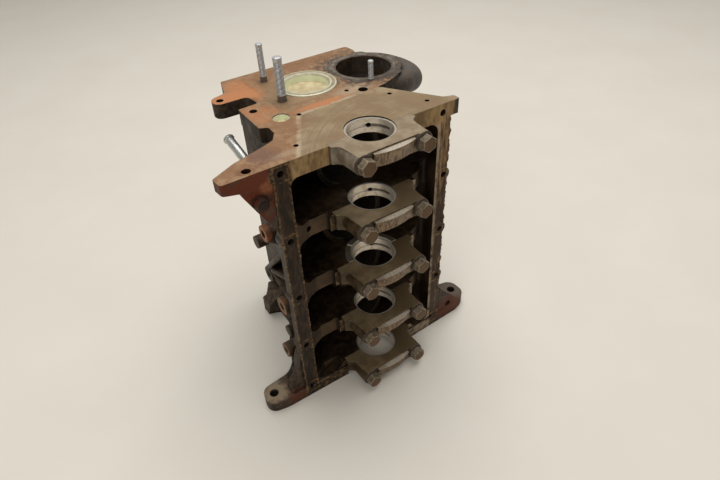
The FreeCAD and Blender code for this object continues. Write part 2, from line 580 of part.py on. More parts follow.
def thrust_washer(front):
    """Half thrust washer let into the third bulkhead."""
    face = BEARING_FACES[2]
    bottom = face + THRUST_PROUD - THRUST_THICKNESS
    if not front:
        bottom = face - BEARING_WIDTH - THRUST_PROUD
    washer = Part.makeCylinder(THRUST_OUTER, THRUST_THICKNESS, V(0, 0, bottom), V(0, 0, 1), 180)
    washer = washer.cut(Part.makeCylinder(THRUST_INNER, THRUST_THICKNESS + 2, V(0, 0, bottom - 1)))
    for turn in (55, 125):
        angle = math.radians(turn)
        outward = V(math.cos(angle), math.sin(angle), 0)
        level = face + THRUST_PROUD if front else face - BEARING_WIDTH - THRUST_PROUD
        groove = rod(1.0, tuple(outward * 25 + V(0, 0, level)), tuple(outward * 45 + V(0, 0, level)))
        washer = washer.cut(groove)
    return washer


# ---- plugs, studs, tube and gasket ---------------------------------------------------------
def cup_plug(radius, depth, start, axis):
    """A pressed cup plug: rim at the start, floor one depth further back along the axis."""
    inner = radius - PLUG_SHEET
    return turned([(0, -depth), (radius - 1.5, -depth), (radius, -depth + 1.5), (radius, 0), (inner, 0),
                   (inner - 0.4, -depth + PLUG_SHEET), (0, -depth + PLUG_SHEET)], start, axis)


def large_core_plug():
    """The front core plug: a flanged disc with a pressed cup."""
    x, y = LARGE_PLUG
    cup, rim, sheet = LARGE_PLUG_CUP, LARGE_PLUG_FLANGE, PLUG_SHEET
    return turned([(0, -LARGE_PLUG_DEPTH), (cup - 2, -LARGE_PLUG_DEPTH), (cup, -LARGE_PLUG_DEPTH + 2),
                   (cup, 0), (rim, 0), (rim, 0.8), (rim - 0.9, sheet), (cup - 0.4, sheet),
                   (cup - 2.2, -0.6), (cup - 3, -LARGE_PLUG_DEPTH + sheet),
                   (0, -LARGE_PLUG_DEPTH + sheet)], (x, y, FRONT), (0, 0, 1))


def stud(x, y, radius, height):
    """A headless stud screwed into the front face, its end turned to a short pilot."""
    return turned([(0, -STUD_ENGAGED), (radius - 1, -STUD_ENGAGED), (radius, -STUD_ENGAGED + 1),
                   (radius, height - 4.5), (radius - 1.2, height - 3.2), (radius - 1.2, height - 0.8),
                   (radius - 2, height), (0, height)], (x, y, FRONT), (0, 0, 1))


def dipstick_tube():
    """The short steel guide tube, flared at its mouth."""
    foot, mouth = tube_line()
    length = (mouth - foot).Length
    r, b = TUBE_RADIUS, TUBE_BORE
    return turned([(b, -7), (r, -7), (r, length - 5), (r + 1.2, length - 3.6), (r + 1.2, length - 1.2),
                   (r + 0.4, length), (b + 0.4, length), (b, length - 3)], tuple(foot),
                  tuple(mouth - foot))


def pump_gasket():
    """What is left of the water pump gasket, with lugs round its bolt holes."""
    x, y = PUMP
    lugs = (62, 118, 176, 228, 300, 2)
    ring = Part.makeCylinder(GASKET_OUTER, GASKET_THICKNESS, V(x, y, FRONT))
    tabs = []
    holes = [Part.makeCylinder(PUMP_BORE + 0.6, 4, V(x, y, FRONT - 1))]
    for turn in lugs:
        angle = math.radians(turn)
        cx, cy = x + 47 * math.cos(angle), y + 47 * math.sin(angle)
        tabs.append(Part.makeCylinder(8.5, GASKET_THICKNESS, V(cx, cy, FRONT)))
        holes.append(Part.makeCylinder(3.3, 4, V(cx, cy, FRONT - 1)))
    sx, sy, radius, height = STUDS["water_pump_stud"]
    holes.append(Part.makeCylinder(radius + 2 * FIT, 4, V(sx, sy, FRONT - 1)))
    holes.append(Part.makeCylinder(LARGE_PLUG_FLANGE + 0.5, 4, V(*LARGE_PLUG, FRONT - 1)))
    return ring.fuse(tabs).cut(holes)


# ---- write every piece ----------------------------------------------------------------------
os.makedirs("parts", exist_ok=True)
save(block_casting(), "block_casting")
for k in range(CYLINDERS + 1):
    number = k + 1
    save(main_cap(k), f"main_cap_{number}")
    save(cap_bolts(k), f"cap_bolts_{number}")
    save(bearing_shell(k, True), f"upper_shell_{number}")
    save(bearing_shell(k, False), f"lower_shell_{number}")
save(thrust_washer(True), "thrust_washer_front")
save(thrust_washer(False), "thrust_washer_rear")
save(large_core_plug(), "front_core_plug")
save(cup_plug(SMALL_PLUG_RADIUS, SMALL_PLUG_DEPTH, (*GALLERY, FRONT - 0.8), (0, 0, 1)), "oil_gallery_plug")
for side, word in ((-1, "left"), (1, "right")):
    plugs = [cup_plug(SIDE_PLUG_RADIUS, SIDE_PLUG_DEPTH,
                      (side * (WALL_HALF_WIDTH - 1), SIDE_PLUG_Y, height), (side, 0, 0))
             for height in side_plug_heights()]
    save(plugs, f"side_core_plugs_{word}")
for name, (x, y, radius, height) in STUDS.items():
    save(stud(x, y, radius, height), name)
save(dipstick_tube(), "dipstick_tube")
save(pump_gasket(), "water_pump_gasket")
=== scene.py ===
# %% [markdown]
# # A bare cylinder block, used and oily
#
# The real object is the cast-iron cylinder block of a small four-cylinder diesel, stripped down to the
# casting, its five main bearing caps and the few pieces nobody takes out: core plugs, studs, shells and
# the dipstick guide. It stands on its rear face, so the front (timing) face looks up at the light.
# Its shape is already right in the CAD model. What is left is what makes it look used: machined faces
# with cutter arcs, rust that crept under old gaskets, oil-black crankcase walls and worn bright edges.

import json
import math

import bpy
import numpy as np
from mathutils import Matrix, Vector

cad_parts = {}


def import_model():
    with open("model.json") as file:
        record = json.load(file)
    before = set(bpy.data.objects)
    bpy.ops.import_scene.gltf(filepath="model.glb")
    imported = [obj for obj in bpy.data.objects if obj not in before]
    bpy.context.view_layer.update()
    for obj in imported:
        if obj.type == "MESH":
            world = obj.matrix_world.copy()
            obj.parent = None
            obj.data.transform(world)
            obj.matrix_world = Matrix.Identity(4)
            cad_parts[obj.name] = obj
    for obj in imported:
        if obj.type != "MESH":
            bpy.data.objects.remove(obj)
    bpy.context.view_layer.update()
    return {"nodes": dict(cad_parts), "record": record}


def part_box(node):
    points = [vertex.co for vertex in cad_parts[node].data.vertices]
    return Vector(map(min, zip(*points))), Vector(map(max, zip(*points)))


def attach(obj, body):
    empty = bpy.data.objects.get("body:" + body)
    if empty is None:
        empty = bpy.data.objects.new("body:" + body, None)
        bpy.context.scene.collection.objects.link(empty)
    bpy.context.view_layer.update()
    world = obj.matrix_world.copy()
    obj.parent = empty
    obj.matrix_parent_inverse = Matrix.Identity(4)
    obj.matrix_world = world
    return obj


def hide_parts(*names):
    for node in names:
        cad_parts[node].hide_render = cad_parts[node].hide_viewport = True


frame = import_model()
nodes = frame["nodes"]
scene = bpy.context.scene
MM = 0.001
TURN = 2 * np.pi

# %% [markdown]
# ## Where things are
#
# Places could all be typed in, but a typed place goes wrong as soon as the block changes. So what the
# frame knows is read from it: the first cap gives the front face, two neighbouring caps give the pitch,
# a shell gives the middle of a bearing, and a bolt's or plug's box gives its place. The few edges and
# levels of the casting that no box gives are named beside the finish that needs them.


# %% Measure the frame
def middle(node):
    """Centre of a node's box."""
    low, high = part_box(node)
    return (low + high) / 2


WASHER_TO_RAIL = 5.5 * MM
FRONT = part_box("main_cap_1")[1].z
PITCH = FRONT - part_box("main_cap_2")[1].z
BEARING_DROP = FRONT - middle("upper_shell_1").z
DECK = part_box("block_casting")[1].y
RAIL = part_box("thrust_washer_front")[0].y - WASHER_TO_RAIL
BOLT_HEAD_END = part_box("cap_bolts_1")[0].y
PLUG_AXIS = middle("front_core_plug")
print(f"front face {FRONT:.4f}, pitch {PITCH:.4f}, deck {DECK:.4f}, rail face {RAIL:.4f}")

# %% [markdown]
# ## Camera
#
# The camera looks down at the front face from the left, so the cap row runs down the middle of the view.
# It could be aimed at a target, but it is also turned a little about its line of sight. So it is placed
# by its own three unit vectors: the way it looks back along, its right and its up.

# %% Camera
AZIMUTH, ELEVATION, ROLL = math.radians(-33.02), math.radians(39.57), -0.0473
CAMERA_PLACE = (-0.306, -0.440, FRONT + 0.284)
back = np.array([math.sin(AZIMUTH) * math.cos(ELEVATION),
                 -math.cos(AZIMUTH) * math.cos(ELEVATION), math.sin(ELEVATION)])
level = np.array([math.cos(AZIMUTH), math.sin(AZIMUTH), 0.0])
upward = np.cross(back, level)
right = math.cos(ROLL) * level + math.sin(ROLL) * upward
upward = np.cross(back, right)
camera_data = bpy.data.cameras.new("camera")
camera_data.sensor_width = 36.0
camera_data.lens = 27.05
camera_data.clip_start = 0.01
camera = bpy.data.objects.new("camera", camera_data)
scene.collection.objects.link(camera)
placed = np.eye(4)
placed[:3, 0], placed[:3, 1], placed[:3, 2] = right, upward, back
placed[:3, 3] = CAMERA_PLACE
camera.matrix_world = Matrix(placed.tolist())
scene.camera = camera
print("camera at", tuple(round(v, 3) for v in CAMERA_PLACE))

# %% [markdown]
# ## Values that make their own nodes
#
# Every finish here is worked out from position: a point on the casting knows where it is, which way its
# face looks, and how near an edge it lies. Such sums could be wired up node by node, but they read better
# as sums. So a Value holds one output of a node, and adding or multiplying two of them makes the Math
# node that does it.


# %% Values and the nodes behind them
class Value:
    """Something worked out at every point of a surface; sums written with it become Math nodes."""

    def __init__(self, tree, socket):
        self.tree = tree
        self.socket = socket

    def __add__(self, other):
        return calc("ADD", self, other)

    def __sub__(self, other):
        return calc("SUBTRACT", self, other)

    def __rsub__(self, other):
        return calc("SUBTRACT", other, self)

    def __mul__(self, other):
        return calc("MULTIPLY", self, other)

    def __mod__(self, other):
        return calc("MODULO", self, other)

    def __abs__(self):
        return calc("ABSOLUTE", self)


def join(tree, socket, given):
    """Links a Value to a socket, or sets a plain number or colour there."""
    if isinstance(given, Value):
        tree.links.new(given.socket, socket)
    else:
        socket.default_value = given


def put(tree, kind, inputs, out=0, **settings):
    """Adds one shader node, joins its inputs, and returns one output as a Value."""
    made = tree.nodes.new("ShaderNode" + kind)
    for key, setting in settings.items():
        setattr(made, key, setting)
    for key, given in inputs.items():
        join(tree, made.inputs[key], given)
    return Value(tree, made.outputs[out])


def calc(operation, a, b=0.0):
    """One Math node; one of the two may be a plain number."""
    tree = a.tree if isinstance(a, Value) else b.tree
    return put(tree, "Math", {0: a, 1: b}, operation=operation)


def larger(a, b):
    """The larger of two values at every point."""
    return calc("MAXIMUM", a, b)


def smaller(a, b):
    """The smaller of two values at every point."""
    return calc("MINIMUM", a, b)


# %% [markdown]
# ## Masks, mixes and noise
#
# A mask is a value between 0 and 1 that says where a finish shows. Nearly all of them come from a ramp:
# a place or a noise is compared with two limits and eased between them. An edge on the block is named as
# a pair, where it lies and how far the change takes on either side. Noise is asked for by the size of its
# patches in millimetres, because that is what can be measured on a real block.


# %% Masks and mixes
def ramp(value, low, high):
    """0 at low and 1 at high, eased at both ends; high may be under low."""
    return put(value.tree, "MapRange", {0: value, 1: low, 2: high, 3: 0.0, 4: 1.0},
               interpolation_type="SMOOTHSTEP")


def past(value, edge, soften):
    """0 before an edge and 1 past it, turning within soften on either side, in millimetres."""
    return ramp(value, (edge - soften) * MM, (edge + soften) * MM)


def before(value, edge, soften):
    """1 before an edge and 0 past it, turning within soften on either side, in millimetres."""
    return ramp(value, (edge + soften) * MM, (edge - soften) * MM)


def spread(value, low, high, start=0.0, end=1.0):
    """Low where the value is start and high where it is end, on a straight line between."""
    return put(value.tree, "MapRange", {0: value, 1: start, 2: end, 3: low, 4: high})


def blend(mask, under, over):
    """Over laid on under where the mask is 1; either may be a plain colour of three numbers."""
    under, over = (tint if isinstance(tint, Value) else (*tint, 1.0) for tint in (under, over))
    return put(mask.tree, "Mix", {0: mask, 6: under, 7: over}, out=2, data_type="RGBA")


# %% Vectors and noise
def split(vector):
    """The X, Y and Z parts of a vector."""
    return [put(vector.tree, "SeparateXYZ", {0: vector}, out=i) for i in range(3)]


def stretched(vector, scale):
    """A vector multiplied along each axis, so that noise read from it runs in streaks."""
    return put(vector.tree, "VectorMath", {0: vector, 1: scale}, operation="MULTIPLY")


def length(vector):
    """How long a vector is."""
    return put(vector.tree, "VectorMath", {0: vector}, out=1, operation="LENGTH")


def around(place, x, y):
    """Distance from the line along Z that passes through x, y."""
    offset = put(place.tree, "VectorMath", {0: place, 1: (x, y, 0)}, operation="SUBTRACT")
    return length(stretched(offset, (1, 1, 0)))


def grain(place, size, detail=3.0, rough=0.55):
    """Cloudy noise whose patches are about size millimetres across."""
    return put(place.tree, "TexNoise", {"Vector": place, "Scale": 1.0 / (size * MM), "Detail": detail,
                                        "Roughness": rough})


def spot(place, ragged, centre, size, edge):
    """A ragged ellipsoid patch: 1 inside, 0 outside, centre and half sizes in millimetres."""
    scale = [1.0 / (half * MM) for half in size]
    shift = [-c / half for c, half in zip(centre, size)]
    local = put(place.tree, "VectorMath", {0: place, 1: scale, 2: shift}, operation="MULTIPLY_ADD")
    return ramp(length(local) + ragged, 1.0 + edge, 1.0 - edge)


def stained(tint, place, ragged, edge, stains):
    """A colour with stains laid on it in order, each a centre, half sizes, colour and strength."""
    for centre, size, shade, strength in stains:
        tint = blend(spot(place, ragged, centre, size, edge) * strength, tint, shade)
    return tint


# %% [markdown]
# ## What a point of a surface knows
#
# Positions are Object coordinates, so a stain stays where it is put however the object is viewed. Two
# things can't be had from position alone. An edge's small radius comes from the Bevel node, and comparing
# it with the flat facing finds the edges, which are lightened partly as worn metal and partly as a painted
# highlight. Painted shade, with some grime, goes where little light gets in, which the Ambient Occlusion
# node measures.


# %% Surfaces
class Surface:
    """A new material, and what is known at each of its points."""

    def __init__(self, name):
        self.material = bpy.data.materials.new(name)
        self.material.use_nodes = True
        self.tree = self.material.node_tree
        self.place = put(self.tree, "TexCoord", {}, out=3)
        self.facing = put(self.tree, "NewGeometry", {}, out=1)
        self.x, self.y, self.z = split(self.place)
        self.nx, self.ny, self.nz = split(self.facing)

    def rounded(self, radius):
        """Facing as if every sharp edge had a small radius, in millimetres."""
        return put(self.tree, "Bevel", {"Radius": radius * MM}, samples=4)

    def crevice(self, reach):
        """1 deep in corners that light hardly reaches, 0 in the open; reach in millimetres."""
        seen = put(self.tree, "AmbientOcclusion", {"Distance": reach * MM}, out=1, samples=6)
        return ramp(seen, 0.85, 0.35)

    def attribute(self, name):
        """A number kept at the mesh's own points."""
        return put(self.tree, "Attribute", {}, out=2, attribute_name=name)

    def feed(self, **sockets):
        """Joins the shader's inputs, an underscore for a space, and hands back the material."""
        shader = self.tree.nodes["Principled BSDF"]
        for key, given in sockets.items():
            join(self.tree, shader.inputs[key.replace("_", " ")], given)
        return self.material


def edge_mask(soft, facing, low=0.012, high=0.10):
    """1 along edges and corners, where the softened facing leans away from the true one."""
    same = put(soft.tree, "VectorMath", {0: soft, 1: facing}, out=1, operation="DOT_PRODUCT")
    return ramp(1.0 - same, low, high)


def bumps(soft, height, depth):
    """Relief of the given depth in millimetres laid on a facing."""
    return put(soft.tree, "Bump", {"Height": height, "Distance": depth * MM, "Strength": 1.0,
                                   "Normal": soft})


# %% [markdown]
# ## Floor
#
# The block stands on a plain pale floor. It could be a curved backdrop, but one flat plane so large that
# its edge is never in view is enough, because an even sky lights it to the horizon.

# %% Lay the floor
FLOOR_HALF = 6.0


def floor_finish():
    """Pale warm floor with the faintest mottling."""
    on = Surface("floor")
    cloud = grain(on.place, 180.0)
    tint = blend(cloud, (0.80, 0.74, 0.64), (0.86, 0.81, 0.72))
    return on.feed(Base_Color=tint, Roughness=0.9)


floor_mesh = bpy.data.meshes.new("floor")
corner_signs = ((-1, -1), (1, -1), (1, 1), (-1, 1))
floor_mesh.from_pydata([(sx * FLOOR_HALF, sy * FLOOR_HALF, 0) for sx, sy in corner_signs], [],
                       [(0, 1, 2, 3)])
floor = bpy.data.objects.new("floor", floor_mesh)
scene.collection.objects.link(floor)
floor_mesh.materials.append(floor_finish())
print("floor", 2 * FLOOR_HALF, "m across")

# %% [markdown]
# ## Light
#
# A hard lamp would draw sharp shadows across the caps and hide the crankcase. Broad soft light shows old
# iron best: a wide overhead lamp makes the faces that look up bright and leaves the crankcase in its own
# shade, a weaker one from the left fills the near side, and an even sky keeps the shadows open.

# %% Hang the lamps
AIM = (0, 0.1, 0.2)
SKY = (1.0, 0.97, 0.92)
SKY_STRENGTH = 0.29


def lamp(name, size, watts, position):
    """A square soft lamp aimed at the middle of the block."""
    data = bpy.data.lights.new(name, "AREA")
    data.size = size
    data.energy = watts
    made = bpy.data.objects.new(name, data)
    scene.collection.objects.link(made)
    made.location = position
    direction = Vector(AIM) - made.location
    made.rotation_euler = direction.to_track_quat("-Z", "Y").to_euler()


lamp("overhead", 2.2, 50.0, (0.5, 0.5, 2.6))
lamp("window", 1.2, 13.0, (-1.8, -1.3, 1.7))
world = bpy.data.worlds.new("sky")
scene.world = world
world.use_nodes = True
sky = world.node_tree.nodes["Background"]
sky.inputs["Color"].default_value = (*SKY, 1.0)
sky.inputs["Strength"].default_value = SKY_STRENGTH
scene.view_settings.view_transform = "Standard"
print("two lamps and an even sky of strength", SKY_STRENGTH)

# %% [markdown]
# ## The casting's colours
#
# Old iron isn't one grey. These are the colours that come back again and again on the block, from the
# oil-black crankcase walls to the fresh orange rust on the front face. Naming them once keeps the layers
# below in tune with each other.

# %% Casting colours
# oil soot in the crankcase; also laid as painted shade over the left side wall under the ear
SOOT_AND_SHADE = (0.007, 0.0035, 0.0015)
SOOT_LIGHT = (0.034, 0.018, 0.008)
# oil film on the crankcase's up-facing faces, lightened as a painted sheen
OIL_FILM_AND_SHEEN = (0.075, 0.046, 0.022)
SKIN_DARK = (0.016, 0.010, 0.007)
SKIN_LIGHT = (0.072, 0.044, 0.024)
SLATE = (0.066, 0.050, 0.036)
# dust, lightened further as a painted sheen on faces that look up
DUST_AND_SHEEN = (0.120, 0.082, 0.052)
MILLED_TAN = (0.345, 0.245, 0.138)
MILLED_LIGHT = (0.385, 0.285, 0.170)
MILLED_SHADE = (0.255, 0.170, 0.090)
PALE = (0.50, 0.40, 0.27)
EAR_TAN = (0.330, 0.250, 0.160)
EAR_BROWN = (0.13, 0.10, 0.075)
RUST = (0.55, 0.215, 0.082)
RUST_BROWN = (0.270, 0.135, 0.062)
RUST_TAN = (0.37, 0.225, 0.12)
RUST_RED = (0.120, 0.022, 0.006)
RUST_DEEP = (0.100, 0.022, 0.007)
RUST_SHADE = (0.016, 0.007, 0.004)
PORT_RUST = (0.36, 0.125, 0.042)
PLUM = (0.190, 0.100, 0.068)
OLIVE = (0.360, 0.235, 0.100)
OCHRE = (0.240, 0.140, 0.050)
SEAT_GREY = (0.060, 0.046, 0.036)
SCROLL_GREY = (0.150, 0.132, 0.116)
# painted shade, with some grime, for corners, hollows and the inside of a port
SHADE_AND_GRIME = (0.007, 0.004, 0.002)
IRON_EDGE = (0.34, 0.26, 0.18)
print("rust", RUST, "grime", SHADE_AND_GRIME)

# %% [markdown]
# ## Front face
#
# The front face was milled with a large cutter, whose teeth left long shallow arcs. A cover kept one part
# of it clean, and round that footprint it rusted. The arcs are noise read along the distance from the
# cutter's axis only, so each ring has one shade. The footprint's edge is the nearer of two straight lines,
# and the stains are laid on one by one, as they happened.

# %% Front face
CUTTER_AXIS = (60 * MM, -90 * MM)
CUTTER_RINGS = 330.0
COVER_SLOPE = (0.867, 0.498)
COVER_REACH = 78.0 * MM
COVER_TOP = 78.5 * MM
COVER_TOP_SLOPE = -0.03
COVER_RAGGED = 2.0 * MM
# measured inwards from the footprint's edge: the edge, both sides of the pale line, and the rust
COVER_EDGE = (0.0, 1.5)
LINE_OUT, LINE_IN = (-2.75, 1.75), (2.25, 1.75)
RUSTY_SIDE = (-1.5, 2.5)
LINE_END = (40, 20)
STAIN_DEPTH, STAIN_EDGE = 9, 0.45
FRONT_STAINS = (
    # centre X, Y and half size in millimetres, colour, strength
    ((-88, 172), (36, 16), RUST, 0.90), ((-66, 198), (18, 16), RUST, 0.65),
    ((-60, 156), (12, 14), RUST, 0.80), ((-84, 108), (12, 24), RUST, 0.45),
    ((-62, 110), (12, 14), RUST, 0.45), ((-8, 86), (34, 6), RUST, 0.80),
    ((-70, 62), (20, 20), RUST_BROWN, 0.6), ((-164, 14), (20, 10), RUST_BROWN, 0.6),
    ((-120, 22), (18, 18), PLUM, 0.85), ((-98, 30), (13, 16), RUST_BROWN, 0.6),
    ((-46, 128), (16, 30), MILLED_SHADE, 0.8), ((-34, 168), (12, 24), MILLED_SHADE, 0.6),
    ((44, 96), (26, 12), PALE, 0.50), ((-8, 112), (28, 9), MILLED_TAN, 0.50),
    ((-40, 204), (22, 12), RUST_BROWN, 0.45), ((60, 212), (34, 14), RUST_BROWN, 0.75),
    ((10, 210), (44, 16), RUST_BROWN, 0.80), ((-92, 9), (24, 5), PALE, 0.30),
    ((-76, 147), (10, 9), SLATE, 0.45), ((84, 36), (26, 26), MILLED_SHADE, 0.45),
    ((-58, 20), (14, 22), MILLED_SHADE, 0.35), ((-148, 4), (10, 8), RUST_DEEP, 0.35),
    ((96, 146), (56, 54), SEAT_GREY, 0.92), ((118, 106), (30, 12), SEAT_GREY, 0.95),
)


def cutter_arcs(on, mid):
    """Streaks in rings round the cutter's axis, strong in some places and worn away in others."""
    rings = put(on.tree, "TexNoise", {"W": around(on.place, *CUTTER_AXIS), "Scale": CUTTER_RINGS,
                                      "Detail": 4.0}, noise_dimensions="1D")
    sweep = grain(on.place, 55.0, 2.0)
    return rings * ramp(sweep, 0.30, 0.75) * 0.9 + mid * 0.45


def front_face(on, ragged, mid, fine):
    """Colour of the milled front face: cutter arcs, the old cover's footprint and the rust round it."""
    covered = blend(ramp(cutter_arcs(on, mid), 0.25, 0.80), MILLED_SHADE, MILLED_LIGHT)
    bare = blend(ramp(mid, 0.30, 0.70), RUST_BROWN, RUST_TAN)
    leaning = on.x * COVER_SLOPE[0] - on.y * COVER_SLOPE[1] + COVER_REACH
    flat_top = COVER_TOP - (on.y + on.x * COVER_TOP_SLOPE)
    inside = smaller(leaning, flat_top) + ragged * COVER_RAGGED
    tint = blend(past(inside, *COVER_EDGE), bare, covered)
    # a pale line of old sealant follows the footprint's edge on the left
    line = past(inside, *LINE_OUT) * before(inside, *LINE_IN) * before(on.x, *LINE_END)
    tint = blend(line * 0.8 * ramp(mid, 0.25, 0.55), tint, PALE)
    tint = stained(tint, on.place, ragged, STAIN_EDGE,
                   [((*centre, FRONT / MM), (*size, STAIN_DEPTH), shade, strength)
                    for centre, size, shade, strength in FRONT_STAINS])
    # dark pits and pale specks, thicker on the rusty part
    rusty = before(inside, *RUSTY_SIDE)
    tint = blend(ramp(fine, 0.56, 0.70) * spread(rusty, 0.12, 0.50), tint, RUST_DEEP)
    return blend(ramp(fine, 0.42, 0.30) * spread(rusty, 0.22, 0.50), tint, PALE)


print(len(FRONT_STAINS), "stains on the front face")

# %% [markdown]
# ## Cast skin
#
# Where nothing was machined, the skin of the casting still shows. Inside the crankcase, hot oil has baked
# it black, and the faces there that look up carry an oil film lightened as a painted sheen. Outside, it is
# browner, with slate-grey patches and dust, lightened as a painted sheen, on whatever looks up. Painted
# shade darkens the left side wall under the ear and the inside of a port. The bracket, the rear ears and
# the ports have rusted through.

# %% Cast skin
CRANKCASE_LEFT, CRANKCASE_RIGHT = (-108, 1), (98, 1)
CRANKCASE_ROOF = (101, 3)
SKIN_STAIN_EDGE = 0.4
SKIN_STAINS = (
    # centre and half size in millimetres, colour, strength
    # the first stain is painted shade over the left side wall under the ear
    ((-96, 120, 325), (64, 84, 50), SOOT_AND_SHADE, 0.9), ((-150, -5, 362), (40, 22, 36), RUST_RED, 0.97),
    ((-133, -5, 364), (8, 8, 7), RUST, 0.28), ((-124, -5, 372), (6, 8, 8), OCHRE, 0.40),
    ((150, 120, 366), (34, 44, 24), SCROLL_GREY, 0.6), ((-141, -10, 349), (11, 16, 11), RUST_SHADE, 0.97),
    # on the next line the long thin stain inside the port is painted shade in its bore; the other is rust
    ((-128, 47, 268), (9, 13, 13), PORT_RUST, 0.75), ((-128, 47, 268), (30, 5, 5), SHADE_AND_GRIME, 1.0),
    ((-130, 24, 164), (8, 14, 14), RUST_BROWN, 0.75), ((-132, 36, 65), (8, 13, 13), RUST_BROWN, 0.55),
    ((-138, -4, 12), (20, 14, 12), RUST_DEEP, 0.85), ((142, -4, 20), (32, 12, 26), RUST_DEEP, 0.9),
    ((-167, 14, 20), (18, 17, 4), EAR_TAN, 0.85), ((170, 20, 20), (19, 18, 4), EAR_BROWN, 0.8),
)


def cast_skin(on, ragged, mid, broad):
    """Colour of the unmachined skin: black where crankcase oil reached, browner and grey outside."""
    outside = larger(before(on.x, *CRANKCASE_LEFT), past(on.x, *CRANKCASE_RIGHT))
    outside = larger(outside, past(on.y, *CRANKCASE_ROOF))
    oily = blend(ramp(broad, 0.35, 0.68), SOOT_AND_SHADE, SOOT_LIGHT)
    dry = blend(ramp(mid, 0.35, 0.68), SKIN_DARK, SKIN_LIGHT)
    dry = blend(ramp(broad, 0.44, 0.60) * 0.5, dry, SLATE)
    looking_up = ramp(on.nz, 0.35, 0.9)
    # dust and a painted sheen on the outside faces that look up
    dry = blend(looking_up * (ramp(mid, 0.30, 0.60) * 0.6), dry, DUST_AND_SHEEN)
    skin = blend(outside, oily, dry)
    # inside the crankcase the faces that look up get an oil film lightened as a painted sheen
    film_and_sheen = (1.0 - outside) * (looking_up * ramp(mid, 0.4, 0.7))
    skin = blend(film_and_sheen * 0.5, skin, OIL_FILM_AND_SHEEN)
    return stained(skin, on.place, ragged, SKIN_STAIN_EDGE, SKIN_STAINS)


print(len(SKIN_STAINS), "stains on the cast skin")

# %% [markdown]
# ## Pan rails
#
# The two long faces that the oil pan was glued to run down the front of the block. The left one is black
# with oil and scraped ochre at its edges. The right one still carries wiped tan sealant, heaviest near
# the top, in drips that run down it: noise stretched along Z. Round each rail hole is a square outline,
# scraped down to ochre.

# %% Pan rails
RAIL_OUTER_LEFT, RAIL_OUTER_RIGHT = (-128.25, 0.75), (120, 1)
BETWEEN_RAILS = (0.0, 5)
RAIL_MIDDLE, RAIL_HOLE_REACH = -4 * MM, 112 * MM
LEFT_SCRAPE_OUTER, LEFT_SCRAPE_INNER = (-123.75, 1.75), (-108.5, 1.5)
RIGHT_SCRAPE = (100, 1)
SEALANT_THIN_AT, SEALANT_THICK_AT = 200 * MM, 380 * MM
FIRST_RAIL_HOLE = 11.6 * MM
OUTLINE_INNER, OUTLINE_OUTER = (8.0, 1), (10.5, 1)
OUTLINE_RAGGED = 1.6 * MM


def left_rail(on, wiped):
    """Oil-black, with ochre scraped along both edges."""
    tint = blend(ramp(wiped, 0.42, 0.68), (0.014, 0.007, 0.003), (0.052, 0.027, 0.011))
    edge = larger(before(on.x, *LEFT_SCRAPE_OUTER), past(on.x, *LEFT_SCRAPE_INNER))
    edge = edge * ramp(grain(on.place, 4.5, 4.0, 0.7), 0.46, 0.60)
    return blend(edge * 0.6, tint, OCHRE)


def right_rail(on, wiped, mid):
    """Tan sealant over brown, thickest near the front, with a pale inner edge."""
    thinning = spread(on.z, 0.17, -0.04, SEALANT_THIN_AT, SEALANT_THICK_AT)
    drips = grain(stretched(on.place, (1.0, 1.0, 0.10)), 3.2, 2.0)
    cover = wiped * 0.55 + drips * 0.45
    tint = blend(ramp(cover - thinning, 0.34, 0.64), (0.040, 0.018, 0.006), (0.320, 0.200, 0.094))
    edge = before(on.x, *RIGHT_SCRAPE) * ramp(mid, 0.3, 0.55)
    return blend(edge * 0.5, tint, PALE)


def plate_outlines(on, ragged, mid):
    """1 on a ragged square outline round each rail hole; the holes follow at the bearing pitch."""
    # half a pitch puts a hole in the middle of the wrap, and two more keep the sum above zero
    lift = abs((FRONT - FIRST_RAIL_HOLE - on.z + PITCH * 2.5) % PITCH - PITCH / 2)
    side = abs(abs(on.x - RAIL_MIDDLE) - RAIL_HOLE_REACH)
    reach = larger(lift, side) + ragged * OUTLINE_RAGGED
    outline = past(reach, *OUTLINE_INNER) * before(reach, *OUTLINE_OUTER)
    return outline * ramp(mid, 0.42, 0.62)


def rail_face(on, ragged, mid, wiped):
    """Both rails, with the scraped outlines."""
    tint = blend(past(on.x, *BETWEEN_RAILS), left_rail(on, wiped), right_rail(on, wiped, mid))
    return blend(plate_outlines(on, ragged, mid) * 0.75, tint, OCHRE)


print("the first rail hole is", FIRST_RAIL_HOLE, "m below the front face")

# %% [markdown]
# ## Cylinder bores
#
# The hone left the four bores smooth and shiny. They are found by formula, as the points within one bore
# radius of an axis that lies half way between two bearings and repeats at their pitch, so one mask serves
# all four. The left of each mouth is lightened as a painted pool of light, the light falling in from the
# crankcase side.

# %% Cylinder bores
BORE_EDGE = (40.25, 0.15)
BORE_FOOT = (46.75, 0.75)
BORE_FRONT, BORE_REAR = (FRONT / MM - 13.5, 0.5), (22.5, 0.5)
MOUTH_LEVEL, MOUTH_LEFT = (51, 3), (-16, 4)


def bore_wall(on):
    """1 on the walls of the four bores."""
    along = (FRONT - BEARING_DROP - on.z + PITCH * 2) % PITCH - PITCH / 2
    across = put(on.tree, "CombineXYZ", {0: on.x, 1: along})
    bore = before(length(across), *BORE_EDGE) * past(on.y, *BORE_FOOT) * ramp(abs(on.ny), 0.3, 0.1)
    return bore * before(on.z, *BORE_FRONT) * past(on.z, *BORE_REAR)


def bore_colour(on):
    """Dark hone finish, with a painted pool of light at the left of each mouth."""
    lit_mouth = before(on.y, *MOUTH_LEVEL) * before(on.x, *MOUTH_LEFT)
    return blend(lit_mouth, (0.060, 0.048, 0.034), (0.30, 0.235, 0.155))


print("bores to radius", BORE_EDGE[0], "mm")

